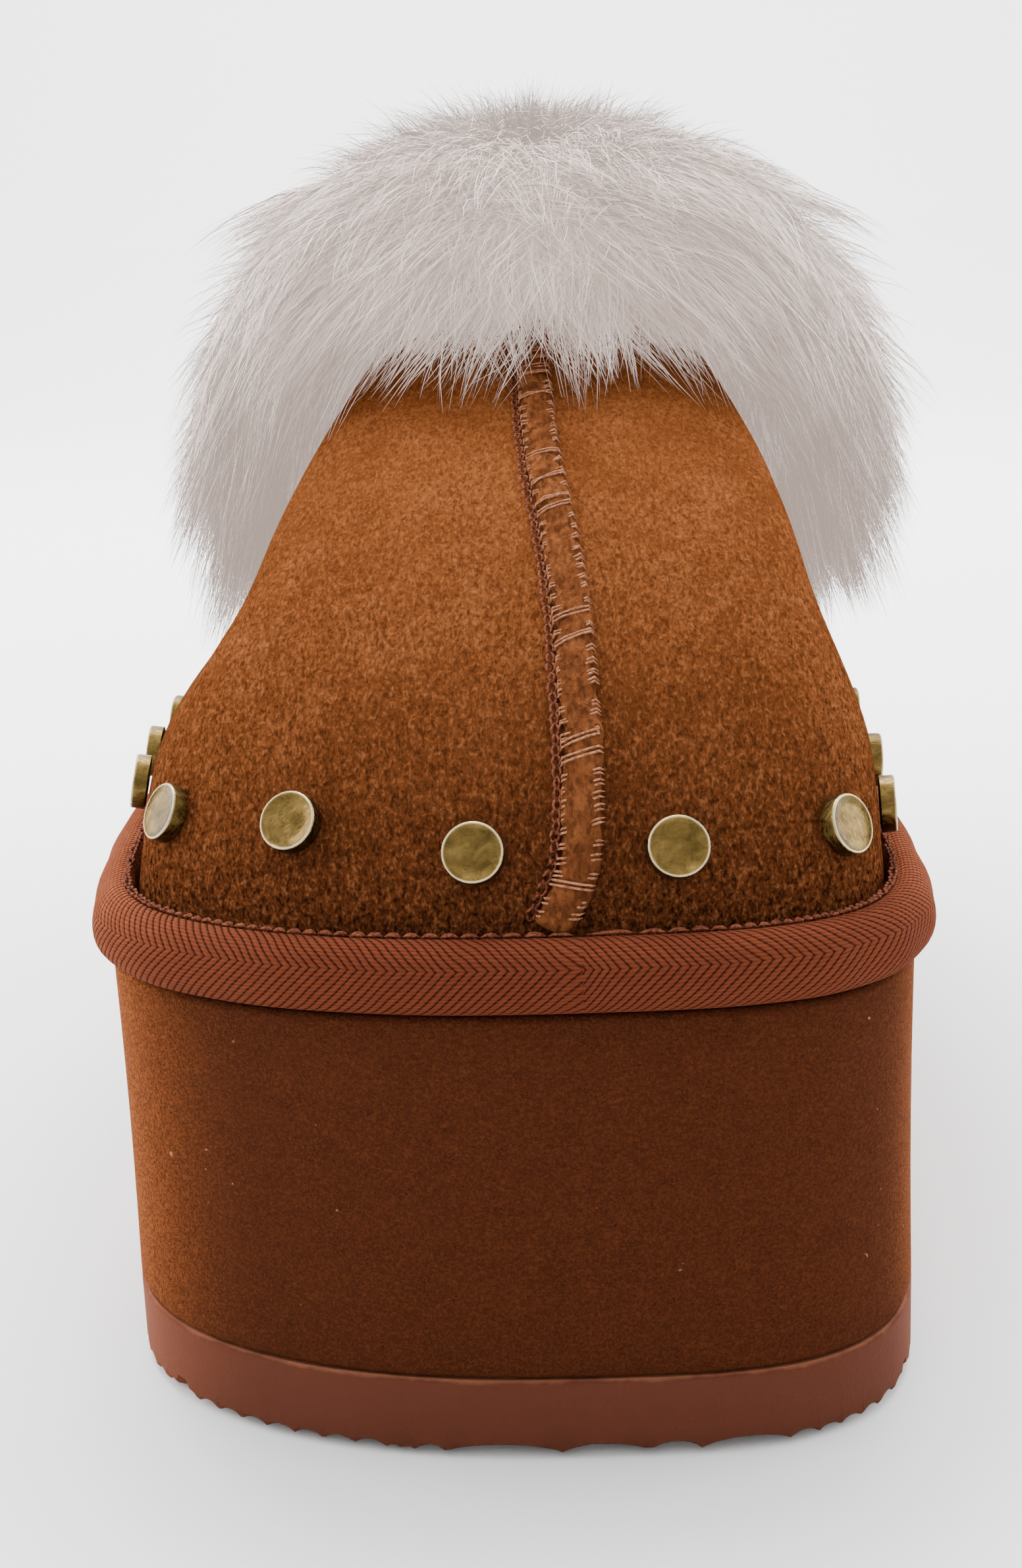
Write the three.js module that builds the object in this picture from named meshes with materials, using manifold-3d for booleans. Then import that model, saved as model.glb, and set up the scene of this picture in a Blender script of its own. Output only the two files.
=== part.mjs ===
// Platform clog for the right foot, in millimetres.
// A tall foam platform on a thin rubber outsole carries a hollow suede upper with a raised
// centre seam. A rolled binding covers the joint, a row of flat rivet heads runs round the
// upper above it, and a deep fleece roll goes round the collar.
// The toe points to -Y, the inner side of the foot is +X and the floor is z = 0.
import * as THREE from "three";
import { mergeVertices } from "three/addons/utils/BufferGeometryUtils.js";
import Module from "manifold-3d";

const wasm = await Module();
wasm.setup();

// Platform sizes
const SHOE_LENGTH = 262; // wall of the platform, toe to heel
const BALL_WIDTH = 106.2; // wall of the platform across the ball
const HEEL_WIDTH = 77; // and across the heel
const TOE_SHIFT = 0.5; // toe tip, to the inner side of the middle
const HEEL_SHIFT = -4; // heel tip, to the outer side of the middle
const TOE_DEPTH_INNER = 47; // length of the rounding at the big toe
const TOE_DEPTH_OUTER = 37; // length of the rounding at the little toe
const HEEL_DEPTH = 44; // length of the rounding at the heel
const PLATFORM_HEIGHT = 57.6; // floor to the platform's top at the ball
const TOE_SPRING = 1.2; // rise of the platform's top from ball to toe
const HEEL_LIFT = 7; // rise of the platform's top from ball to heel
const OUTSOLE_THICKNESS = 10.2;
const OUTSOLE_EDGE = 0.8; // bevel round the outsole's lower edge
const SOLE_ROCKER = 0.5; // rise of the outsole's underside at the toe tip
const GROOVE_PITCH = 12; // tread grooves, one to the next
const GROOVE_WIDTH = 3.6;
const GROOVE_DEPTH = 2.4;
const GROOVE_DRAFT = 0.5; // slope of its sides, width for each unit of depth
const GROOVE_SWEEP = 9; // how far each groove's middle lies ahead of its ends
const PIECE_GAP = 0.3; // between pieces that touch

// Binding sizes
const LEDGE_WIDTH = 3.6; // shelf cut into the platform's top edge for the binding
const LEDGE_DROP = 2.9; // depth of that shelf below the platform's top
const BINDING_HEIGHT = 8.6;
const BINDING_BULGE = 2.4; // how far the roll stands out from the wall

// Upper sizes
const WALL = 2.2; // suede and its lining
const THROAT_DISTANCE = 112; // toe tip to the front of the collar
const BACK_DISTANCE = 12; // back of the collar to the heel tip
const COLLAR_WIDTH = 64; // across the collar's edge
const COLLAR_SHIFT = -1.5; // middle of the collar
const INSTEP_HEIGHT = 76; // platform's top to the front of the collar
const HEEL_HEIGHT = 44; // platform's top to the back of the collar
const BALL_SWELL = 1; // how far the vamp's sides swell beside the ball of the foot
const WAIST_DEPTH = 6.5; // how far they draw in above it
const SEAM_WIDTH = 4.6;
const SEAM_HEIGHT = 1.7; // how far the centre seam stands out from the suede
const SEAM_ROOT = 0.8; // how far it reaches into the wall

// Insole, rivet and fleece sizes
const INSOLE_THICKNESS = 5;
const INSOLE_CLEARANCE = 1.2; // to the inside of the upper
const INSOLE_DISH = 0.9; // how far the footbed's middle is sunk
const STUD_DIAMETER = 7.2;
const STUD_HEIGHT = 2;
const STUD_SPACING = 21.4;
const STUD_SEAM_GAP = 23.6; // between the two rivets beside the seam
const STUD_RISE = 14.6; // rivet centres above the platform's top
const FLEECE_LENGTH = 22; // half the fleece roll's length down the instep
const FLEECE_DEPTH = 14; // half its thickness there
const LOCK_LENGTH = 6; // how far the locks stand out of the roll

// Numbers of facets
const STATIONS = 72; // round the outline
const FLEECE_SIDES = 11; // round the fleece roll
const STUD_SIDES = 10;

// Half widths of the platform as shares of its width there, from toe to heel.
const SOLE_SIDES = [
  { along: 0.0, inner: 0.405, outer: 0.553 },
  { along: 0.12, inner: 0.413, outer: 0.551 },
  { along: 0.18, inner: 0.423, outer: 0.564 },
  { along: 0.27, inner: 0.43, outer: 0.57 },
  { along: 0.36, inner: 0.4275, outer: 0.5565 },
  { along: 0.48, inner: 0.419, outer: 0.538 },
  { along: 0.6, inner: 0.435, outer: 0.541 },
  { along: 0.72, inner: 0.469, outer: 0.546 },
  { along: 0.85, inner: 0.491, outer: 0.516 },
  { along: 1.0, inner: 0.5, outer: 0.5 },
];

// Collar's edge from throat to heel. Height goes from 1 at the throat to 0 at the heel, and shift
// is a share of COLLAR_SHIFT. Slope is the wall's angle at the edge in degrees. Steep and gentle
// are the shares of a rib's length that rise from the rim and run along that slope.
const COLLAR_LINE = [
  { along: 0.0, height: 1.0, shift: 0.5, slope: 22, steep: 0.29, gentle: 0.4 },
  { along: 0.04, height: 0.97, shift: 0.6, slope: 24, steep: 0.26, gentle: 0.29 },
  { along: 0.12, height: 0.85, shift: 0.7, slope: 30, steep: 0.21, gentle: 0.16 },
  { along: 0.25, height: 0.48, shift: 1.0, slope: 42, steep: 0.23, gentle: 0.13 },
  { along: 0.37, height: 0.12, shift: 1.0, slope: 60, steep: 0.23, gentle: 0.14 },
  { along: 0.5, height: -0.1, shift: 1.0, slope: 73, steep: 0.22, gentle: 0.2 },
  { along: 0.75, height: -0.12, shift: 1.1, slope: 82, steep: 0.28, gentle: 0.3 },
  { along: 1.0, height: 0.0, shift: 1.3, slope: 82, steep: 0.3, gentle: 0.3 },
];

// Rivets beside the toe were set by eye: how far each stands above the row, from the seam on.
const STUD_STRAY = { inner: [0, 0, -2.2, -1.5], outer: [0, 2.6, 1.2, 0.6] };

// Fleece roll from throat to heel, as shares of FLEECE_LENGTH and FLEECE_DEPTH.
const FLEECE_ROLL = [
  { along: 0.0, length: 1.0, depth: 1.0 },
  { along: 0.12, length: 1.05, depth: 1.0 },
  { along: 0.3, length: 1.05, depth: 1.0 },
  { along: 0.5, length: 0.85, depth: 0.9 },
  { along: 1.0, length: 0.72, depth: 0.78 },
];

// Binding's section. In is a share of LEDGE_WIDTH, out a share of BINDING_BULGE and up a share
// of BINDING_HEIGHT.
const BINDING_SECTION = [
  { in: 1, out: 0, up: 0 },
  { in: 0, out: 0, up: 0 },
  { in: 0, out: 0.62, up: 0.1 },
  { in: 0, out: 0.95, up: 0.32 },
  { in: 0, out: 0.95, up: 0.62 },
  { in: 0, out: 0.55, up: 0.88 },
  { in: 0.2, out: 0, up: 1 },
  { in: 0.75, out: 0, up: 0.98 },
  { in: 1, out: 0, up: 0.86 },
];

const { lerp, smoothstep, degToRad, euclideanModulo } = THREE.MathUtils;

const clog = new THREE.Group();

// Reads a table at any share of its length, on a smooth curve through its rows.
function tableValue(rows, column, along) {
  let k = 0;
  while (k < rows.length - 2 && along > rows[k + 1].along) k += 1;
  const slope = (i) => {
    const before = rows[Math.max(i - 1, 0)];
    const after = rows[Math.min(i + 1, rows.length - 1)];
    return (after[column] - before[column]) / (after.along - before.along);
  };
  const gap = rows[k + 1].along - rows[k].along;
  const t = (along - rows[k].along) / gap;
  const start = rows[k][column] * (2 * t ** 3 - 3 * t ** 2 + 1);
  const end = rows[k + 1][column] * (3 * t ** 2 - 2 * t ** 3);
  const leave = slope(k) * gap * (t ** 3 - 2 * t ** 2 + t);
  const arrive = slope(k + 1) * gap * (t ** 3 - t ** 2);
  return start + end + leave + arrive;
}

// Height of the platform's top at a distance behind the toe tip.
function platformTop(y) {
  const along = y / SHOE_LENGTH;
  const ball = 0.32;
  const spring = TOE_SPRING * Math.max(1 - along / ball, 0) ** 2;
  return PLATFORM_HEIGHT + spring + HEEL_LIFT * smoothstep(along, ball, 0.9);
}

// Share of the full half width at a distance in from the tip of a rounded end.
function roundedEnd(distance, depth, power) {
  const rest = 1 - Math.min(Math.max(distance / depth, 0), 1);
  return (1 - rest ** power) ** (1 / power);
}

// A turn of 0 is the toe tip, a quarter the inner side, a half the heel tip.
function alongOfTurn(turn) {
  return (1 - Math.cos(2 * Math.PI * turn)) / 2;
}

function outlinePoint(turn) {
  const along = alongOfTurn(turn);
  const inner = euclideanModulo(turn, 1) < 0.5;
  const width = lerp(BALL_WIDTH, HEEL_WIDTH, smoothstep(along, 0.36, 0.85));
  const side = tableValue(SOLE_SIDES, inner ? "inner" : "outer", along);
  const toeDepth = inner ? TOE_DEPTH_INNER : TOE_DEPTH_OUTER;
  const toe = roundedEnd(along * SHOE_LENGTH, toeDepth, inner ? 3.5 : 2.25);
  const heel = roundedEnd((1 - along) * SHOE_LENGTH, HEEL_DEPTH, 2.2);
  const half = width * side * toe * heel;
  const middle = lerp(TOE_SHIFT, HEEL_SHIFT, along);
  return new THREE.Vector2(middle + (inner ? half : -half), along * SHOE_LENGTH);
}

// Outward direction of a closed line in plan, from its points a small turn to each side.
function planNormal(line, turn) {
  const step = 0.004;
  const run = line(turn + step).sub(line(turn - step)).normalize();
  return new THREE.Vector2(run.y, -run.x);
}

function wallPoint(turn, inset) {
  const outward = planNormal(outlinePoint, turn);
  return outlinePoint(turn).addScaledVector(outward, -inset);
}

// Ring of points round the platform, at an inset from its wall and a height that may follow y.
function platformRing(inset, height) {
  return Array.from({ length: STATIONS }, (_, i) => {
    const { x, y } = wallPoint(i / STATIONS, inset);
    return new THREE.Vector3(x, y, height(y));
  });
}

function geometryFrom(points, triangles) {
  let volume = 0;
  for (const [a, b, c] of triangles) {
    volume += points[a].dot(points[b].clone().cross(points[c]));
  }
  const faces = volume < 0 ? triangles.map(([a, b, c]) => [a, c, b]) : triangles;
  const geometry = new THREE.BufferGeometry().setFromPoints(points);
  geometry.setIndex(faces.flat());
  return geometry;
}

// Joins rings of equal count by a skin. A looped stack joins its last ring to its first, and
// another gets flat strips across its two ends.
function skinRings(rings, looped) {
  const count = rings[0].length;
  const triangles = [];
  const last = looped ? rings.length : rings.length - 1;
  for (let r = 0; r < last; r += 1) {
    const low = r * count;
    const high = ((r + 1) % rings.length) * count;
    for (let i = 0; i < count; i += 1) {
      const j = (i + 1) % count;
      triangles.push([low + i, low + j, high + j], [low + i, high + j, high + i]);
    }
  }
  if (!looped) {
    const lid = (rings.length - 1) * count;
    for (let i = 0; i < count / 2; i += 1) {
      const right = [i, i + 1];
      const left = [(count - i) % count, count - i - 1];
      const strips = [
        [right[0], right[1], left[1]],
        [right[0], left[1], left[0]],
      ].filter(([a, b, c]) => a !== b && b !== c && a !== c);
      triangles.push(...strips.map(([a, b, c]) => [a, c, b]));
      triangles.push(...strips.map((strip) => strip.map((k) => k + lid)));
    }
  }
  return geometryFrom(rings.flat(), triangles);
}

// Same solid as a manifold body, and back.
function toBody(geometry) {
  const bare = new THREE.BufferGeometry();
  bare.setAttribute("position", geometry.getAttribute("position"));
  bare.setIndex(geometry.getIndex());
  const merged = mergeVertices(bare, 1e-4);
  return new wasm.Manifold(
    new wasm.Mesh({
      numProp: 3,
      vertProperties: new Float32Array(merged.getAttribute("position").array),
      triVerts: new Uint32Array(merged.getIndex().array),
    }),
  );
}

function fromBody(body) {
  const mesh = body.getMesh();
  const geometry = new THREE.BufferGeometry();
  geometry.setAttribute("position", new THREE.BufferAttribute(mesh.vertProperties, 3));
  geometry.setIndex(new THREE.BufferAttribute(mesh.triVerts, 1));
  return geometry;
}

function addPiece(name, geometry, color, roughness, metalness = 0) {
  geometry.computeVertexNormals();
  const material = new THREE.MeshStandardMaterial({ color, roughness, metalness });
  const piece = new THREE.Mesh(geometry, material);
  piece.name = name;
  clog.add(piece);
  return piece;
}

// Outsole: a flat rubber sheet with bevelled edge and swept grooves across its tread.
function undersideHeight(y) {
  const start = 0.16 * SHOE_LENGTH;
  return SOLE_ROCKER * Math.max(1 - y / start, 0) ** 2;
}

function treadGroove(y) {
  const reach = BALL_WIDTH;
  const below = GROOVE_DEPTH;
  const half = GROOVE_WIDTH / 2;
  const narrow = half - GROOVE_DRAFT * GROOVE_DEPTH;
  const wide = half + GROOVE_DRAFT * below;
  const roof = undersideHeight(y) + GROOVE_DEPTH;
  const section = (x, ahead) => [
    new THREE.Vector3(x, y - ahead - wide, roof - GROOVE_DEPTH - below),
    new THREE.Vector3(x, y - ahead + wide, roof - GROOVE_DEPTH - below),
    new THREE.Vector3(x, y - ahead + narrow, roof),
    new THREE.Vector3(x, y - ahead - narrow, roof),
  ];
  return toBody(skinRings([section(-reach, 0), section(0, GROOVE_SWEEP), section(reach, 0)], false));
}

function makeOutsole() {
  const rings = [
    platformRing(OUTSOLE_EDGE, undersideHeight),
    platformRing(0, (y) => undersideHeight(y) + OUTSOLE_EDGE),
    platformRing(0, () => OUTSOLE_THICKNESS),
  ];
  let sheet = toBody(skinRings(rings, false));
  const count = Math.floor((SHOE_LENGTH - 2 * GROOVE_SWEEP) / GROOVE_PITCH);
  const first = (SHOE_LENGTH - (count - 1) * GROOVE_PITCH + GROOVE_SWEEP) / 2;
  for (let i = 0; i < count; i += 1) {
    sheet = sheet.subtract(treadGroove(first + i * GROOVE_PITCH));
  }
  return fromBody(sheet);
}

addPiece("outsole", makeOutsole(), "#7a4630", 0.75);

// Midsole: the tall foam block, with a shelf cut into its top edge for the binding.
const shelf = (y) => platformTop(y) - LEDGE_DROP;
const midsoleRings = [
  platformRing(0, () => OUTSOLE_THICKNESS + PIECE_GAP),
  platformRing(0, shelf),
  platformRing(LEDGE_WIDTH, shelf),
  platformRing(LEDGE_WIDTH, platformTop),
];
addPiece("midsole", skinRings(midsoleRings, false), "#8a4a1e", 0.85);

// Collar's edge in plan, on the same turns as the outline.
function collarPlan(turn) {
  const along = alongOfTurn(turn);
  const side = Math.sin(2 * Math.PI * turn);
  const half = (COLLAR_WIDTH / 2) * Math.sign(side) * Math.abs(side) ** 1.05;
  const middle = COLLAR_SHIFT * tableValue(COLLAR_LINE, "shift", along);
  const y = lerp(THROAT_DISTANCE, SHOE_LENGTH - BACK_DISTANCE, along);
  return new THREE.Vector2(middle + half, y);
}

// Collar's edge in space, with its outward, up-the-wall and off-the-wall directions.
function collarFrame(turn) {
  const along = alongOfTurn(turn);
  const plan = collarPlan(turn);
  const height = lerp(HEEL_HEIGHT, INSTEP_HEIGHT, tableValue(COLLAR_LINE, "height", along));
  const out = planNormal(collarPlan, turn);
  const slope = degToRad(tableValue(COLLAR_LINE, "slope", along));
  const rise = new THREE.Vector3(-out.x, -out.y, 0).multiplyScalar(Math.cos(slope));
  rise.z = Math.sin(slope);
  const off = new THREE.Vector3(out.x, out.y, 0).multiplyScalar(Math.sin(slope));
  off.z = Math.cos(slope);
  return { edge: new THREE.Vector3(plan.x, plan.y, platformTop(plan.y) + height), rise, off };
}

// Upper: each rib leaves the rim steeply and runs in along the slope of the collar.
// A share of 0 is the rim and 1 the collar's edge.
function ribCurve(turn) {
  const foot = wallPoint(turn, LEDGE_WIDTH);
  const start = new THREE.Vector3(foot.x, foot.y, platformTop(foot.y) + PIECE_GAP);
  const { edge, rise } = collarFrame(turn);
  const reach = edge.distanceTo(start);
  const along = alongOfTurn(turn);
  const steepReach = tableValue(COLLAR_LINE, "steep", along) * reach;
  const gentleReach = tableValue(COLLAR_LINE, "gentle", along) * reach;
  const steep = start.clone().add(new THREE.Vector3(0, 0, steepReach));
  const gentle = edge.clone().addScaledVector(rise, -gentleReach);
  return new THREE.CubicBezierCurve3(start, steep, gentle, edge);
}

// The sides of the vamp swell over the ball of the foot and draw in above it.
function upperPoint(turn, share) {
  const point = ribCurve(turn).getPoint(share);
  const along = alongOfTurn(turn);
  const atSide = smoothstep(along, 0.02, 0.14) * (1 - smoothstep(along, 0.42, 0.64));
  const swell = BALL_SWELL * smoothstep(share, 0.09, 0.24) * (1 - smoothstep(share, 0.26, 0.52));
  const waist = WAIST_DEPTH * smoothstep(share, 0.22, 0.5) * (1 - smoothstep(share, 0.6, 1));
  const out = planNormal(outlinePoint, turn);
  point.x += out.x * atSide * (swell - waist);
  point.y += out.y * atSide * (swell - waist);
  return point;
}

// Direction off the wall at a point of the upper.
function upperNormal(turn, share) {
  const step = 0.004;
  const across = upperPoint(turn + step, share).sub(upperPoint(turn - step, share));
  const up = upperPoint(turn, share + step).sub(upperPoint(turn, share - step));
  return across.cross(up).normalize();
}

// Share at which a rib passes a height above the platform's top.
function shareAtRise(turn, rise) {
  let low = 0;
  let high = 1;
  for (let k = 0; k < 24; k += 1) {
    const share = (low + high) / 2;
    const { y, z } = upperPoint(turn, share);
    if (z < platformTop(y) + rise) low = share;
    else high = share;
  }
  return low;
}

const RIB_SHARES = [0, 0.07, 0.15, 0.24, 0.34, 0.45, 0.57, 0.7, 0.85, 1];

// One skin of the upper, offset from the suede's outside, from share 0 to the last share.
function upperRings(offset, lastShare) {
  return RIB_SHARES.map((share) => {
    const here = share * lastShare;
    return Array.from({ length: STATIONS }, (_, i) => {
      const turn = i / STATIONS;
      const point = upperPoint(turn, here).addScaledVector(upperNormal(turn, here), offset);
      point.z = share === 0 ? upperPoint(turn, 0).z : point.z;
      return point;
    });
  });
}

function upperShell(outside, inside, lastShare = 1) {
  const rings = upperRings(outside, lastShare).concat(upperRings(inside, lastShare).reverse());
  return toBody(skinRings(rings, true));
}

// Centre seam: the joined edges of the two vamp panels stand up in a strip from the binding to
// the throat.
function seamStrip(room, lastShare = 0.985) {
  const foot = shareAtRise(0, BINDING_HEIGHT - LEDGE_DROP + 2 * PIECE_GAP);
  const rings = Array.from({ length: 15 }, (_, i) => {
    const share = lerp(foot, lastShare, i / 14);
    const middle = upperPoint(0, share);
    const off = upperNormal(0, share);
    const along = upperPoint(0, share + 0.01).sub(upperPoint(0, share - 0.01)).normalize();
    const side = off.clone().cross(along).normalize();
    const corner = (across, out) =>
      middle
        .clone()
        .addScaledVector(side, across * (SEAM_WIDTH / 2 + room))
        .addScaledVector(off, out + room);
    return [
      corner(-1, -SEAM_ROOT),
      corner(1, -SEAM_ROOT),
      corner(1, SEAM_HEIGHT * 0.55),
      corner(0.6, SEAM_HEIGHT),
      corner(-0.6, SEAM_HEIGHT),
      corner(-1, SEAM_HEIGHT * 0.55),
    ];
  });
  return toBody(skinRings(rings, false));
}

// Binding: a woven tape rolled over the shelf, one closed section carried round the wall.
const bindingRings = BINDING_SECTION.map((row) => {
  const inset = row.in * (LEDGE_WIDTH - PIECE_GAP) - row.out * BINDING_BULGE;
  const lift = PIECE_GAP + row.up * BINDING_HEIGHT;
  return platformRing(inset, (y) => shelf(y) + lift);
});
addPiece("binding", skinRings(bindingRings, true), "#8f4a2c", 0.8);

const upperBody = upperShell(0, -WALL).add(seamStrip(0));
addPiece("upper", fromBody(upperBody), "#9c5a28", 0.95);

// Insole: a fleece footbed with rounded edge and a shallow dish.
const insoleInset = LEDGE_WIDTH + WALL + INSOLE_CLEARANCE;
const insoleLevel = (up) => (y) => platformTop(y) + up;
const insoleRings = [
  platformRing(insoleInset + 0.4, insoleLevel(PIECE_GAP)),
  platformRing(insoleInset, insoleLevel(0.5 * INSOLE_THICKNESS)),
  platformRing(insoleInset + 1.6, insoleLevel(INSOLE_THICKNESS)),
  platformRing(insoleInset + 9, insoleLevel(INSOLE_THICKNESS - INSOLE_DISH)),
];
addPiece("insole", skinRings(insoleRings, false), "#d8cbc0", 1);

// Fleece collar: a soft roll round the collar's edge with its locks pulled out of the surface.
function lockNoise(i, j) {
  const wave = Math.sin(i * 12.9898 + j * 78.233) * 43758.5453;
  return wave - Math.floor(wave);
}

function fleeceRings() {
  return Array.from({ length: FLEECE_SIDES }, (_, j) => {
    const angle = (2 * Math.PI * j) / FLEECE_SIDES;
    return Array.from({ length: STATIONS }, (__, i) => {
      const turn = i / STATIONS;
      const along = alongOfTurn(turn);
      const { edge, rise, off } = collarFrame(turn);
      const length = FLEECE_LENGTH * tableValue(FLEECE_ROLL, "length", along);
      const depth = FLEECE_DEPTH * tableValue(FLEECE_ROLL, "depth", along);
      const point = edge.clone();
      point.addScaledVector(rise, -0.12 * length + Math.sin(angle) * length);
      point.addScaledVector(off, 0.72 * depth + Math.cos(angle) * depth);
      const outside = Math.max(Math.cos(angle) + 0.35, 0) / 1.35;
      if ((i + j) % 2 === 0) {
        const pull = LOCK_LENGTH * outside * (0.55 + 0.45 * lockNoise(i, j));
        point.addScaledVector(off, pull * Math.cos(angle));
        point.addScaledVector(rise, pull * (Math.sin(angle) - 0.35));
      }
      return point;
    });
  });
}

const fleeceSlot = upperShell(PIECE_GAP, -(WALL + PIECE_GAP), 1.012).add(seamStrip(PIECE_GAP, 1));
const fleeceBody = toBody(skinRings(fleeceRings(), true)).subtract(fleeceSlot);
addPiece("fur_collar", fromBody(fleeceBody), "#e4dcd6", 1);

// Studs: flat rivet heads in one row, evenly spaced on both sides of the seam.
function studRow() {
  const samples = 720;
  const points = Array.from({ length: samples + 1 }, (_, i) => {
    const turn = i / samples;
    const share = shareAtRise(turn, STUD_RISE);
    return { turn, share, point: upperPoint(turn, share), run: 0 };
  });
  points.forEach((entry, i) => {
    entry.run = i === 0 ? 0 : points[i - 1].run + entry.point.distanceTo(points[i - 1].point);
  });
  return points;
}

function studGeometry() {
  const radius = STUD_DIAMETER / 2;
  const rim = 0.12 * STUD_DIAMETER;
  const profile = [
    new THREE.Vector2(0, 0),
    new THREE.Vector2(radius, 0),
    new THREE.Vector2(radius, STUD_HEIGHT - 0.3),
    new THREE.Vector2(radius - 0.3, STUD_HEIGHT),
    new THREE.Vector2(radius - rim, STUD_HEIGHT - 0.25),
    new THREE.Vector2(0, STUD_HEIGHT - 0.25),
  ];
  const turned = new THREE.LatheGeometry(profile, STUD_SIDES);
  turned.deleteAttribute("normal");
  turned.deleteAttribute("uv");
  return mergeVertices(turned, 1e-4);
}

const row = studRow();
const rowLength = row[row.length - 1].run;
const studCount = Math.round((rowLength - STUD_SEAM_GAP) / STUD_SPACING) + 1;
const studStep = (rowLength - STUD_SEAM_GAP) / (studCount - 1);
for (let i = 0; i < studCount; i += 1) {
  const run = STUD_SEAM_GAP / 2 + i * studStep;
  const { turn } = row.find((entry) => entry.run >= run);
  const stray = STUD_STRAY.inner[i] ?? STUD_STRAY.outer[studCount - 1 - i] ?? 0;
  const share = shareAtRise(turn, STUD_RISE + stray);
  const off = upperNormal(turn, share);
  const stud = addPiece(`stud_${i + 1}`, studGeometry(), "#7d6a35", 0.4, 0.9);
  stud.position.copy(upperPoint(turn, share)).addScaledVector(off, PIECE_GAP);
  stud.quaternion.setFromUnitVectors(new THREE.Vector3(0, 1, 0), off);
}

// Origin: the middle of the whole clog on the floor.
const box = new THREE.Box3().setFromObject(clog, true);
const centre = box.getCenter(new THREE.Vector3());
clog.position.set(-centre.x, -centre.y, -box.min.z);

export default clog;
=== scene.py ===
# %% [markdown]
# A platform clog for the right foot, dressed for a studio picture. The tall foam platform, the
# rubber outsole, the suede upper, the insole, the fleece roll and the rivets were built as plain
# solids. This lesson keeps their sizes and places and gives each one its real surface.

# %% Load the solids and keep their box
import math

import bmesh
import bpy
import numpy as np
from mathutils import Matrix, Vector


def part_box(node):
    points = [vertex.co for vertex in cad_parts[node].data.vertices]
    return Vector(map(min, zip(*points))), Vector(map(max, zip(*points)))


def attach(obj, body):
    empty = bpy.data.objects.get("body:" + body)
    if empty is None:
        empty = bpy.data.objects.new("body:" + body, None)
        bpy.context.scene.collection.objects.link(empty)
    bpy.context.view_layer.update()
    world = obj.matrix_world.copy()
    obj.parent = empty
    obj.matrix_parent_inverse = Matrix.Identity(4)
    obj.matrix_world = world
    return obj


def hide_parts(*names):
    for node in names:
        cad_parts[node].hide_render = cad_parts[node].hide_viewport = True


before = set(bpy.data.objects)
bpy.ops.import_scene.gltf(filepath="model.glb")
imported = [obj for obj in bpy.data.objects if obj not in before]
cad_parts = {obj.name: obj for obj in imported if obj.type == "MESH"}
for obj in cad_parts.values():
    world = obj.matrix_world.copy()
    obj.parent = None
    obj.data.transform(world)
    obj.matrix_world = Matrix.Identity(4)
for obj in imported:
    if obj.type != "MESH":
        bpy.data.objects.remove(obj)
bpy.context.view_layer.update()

# %% [markdown]
# The clog's own sizes come first. They repeat the ones the solids were made from, in metres, so
# that every curve below follows the same last. Only the place of the toe tip is read from the
# solids, because their origin lies under the middle of the whole clog.

# %% Sizes of the clog
MM = 0.001
LENGTH = 262 * MM
BALL_WIDTH = 106.2 * MM
HEEL_WIDTH = 77 * MM
TOE_SHIFT, HEEL_SHIFT = 0.5 * MM, -4 * MM
TOE_DEPTH = {"inner": 47 * MM, "outer": 37 * MM}
TOE_POWER = {"inner": 3.5, "outer": 2.25}
HEEL_DEPTH = 44 * MM
PLATFORM_HEIGHT, TOE_SPRING, HEEL_LIFT = 57.6 * MM, 1.2 * MM, 7 * MM
OUTSOLE = 10.2 * MM
GAP = 0.3 * MM
LEDGE, LEDGE_DROP = 3.6 * MM, 2.9 * MM
ROLL_HEIGHT, ROLL_BULGE = 8.6 * MM, 2.4 * MM
WALL = 2.2 * MM
THROAT, BACK = 112 * MM, 12 * MM
COLLAR_WIDTH, COLLAR_SHIFT = 64 * MM, -1.5 * MM
INSTEP, HEEL_HEIGHT = 76 * MM, 44 * MM
BALL_SWELL, WAIST_DEPTH = 1 * MM, 6.5 * MM
SEAM_WIDTH, SEAM_HEIGHT = 4.6 * MM, 1.7 * MM
FLEECE_LENGTH, FLEECE_DEPTH = 22 * MM, 14 * MM

SOLE_SIDES = {
    "along": [0, 0.12, 0.18, 0.27, 0.36, 0.48, 0.6, 0.72, 0.85, 1],
    "inner": [0.405, 0.413, 0.423, 0.43, 0.4275, 0.419, 0.435, 0.469, 0.491, 0.5],
    "outer": [0.553, 0.551, 0.564, 0.57, 0.5565, 0.538, 0.541, 0.546, 0.516, 0.5],
}
COLLAR_LINE = {
    "along": [0, 0.04, 0.12, 0.25, 0.37, 0.5, 0.75, 1],
    "height": [1, 0.97, 0.85, 0.48, 0.12, -0.1, -0.12, 0],
    "shift": [0.5, 0.6, 0.7, 1, 1, 1, 1.1, 1.3],
    "slope": [22, 24, 30, 42, 60, 73, 82, 82],
    "steep": [0.29, 0.26, 0.21, 0.23, 0.23, 0.22, 0.28, 0.3],
    "gentle": [0.4, 0.29, 0.16, 0.13, 0.14, 0.2, 0.3, 0.3],
}
FLEECE_ROLL = {
    "along": [0, 0.12, 0.3, 0.5, 1],
    "length": [1, 1.05, 1.05, 0.85, 0.72],
    "depth": [1, 1, 1, 0.9, 0.78],
}

# %% [markdown]
# All curves are read by two numbers. A turn goes once round the clog, from the toe tip along the
# inner side to the heel and back. A share goes up the wall, from the rim to the collar's edge.
# The functions below work on whole arrays of turns, which keeps the long loops out of Python.

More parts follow.
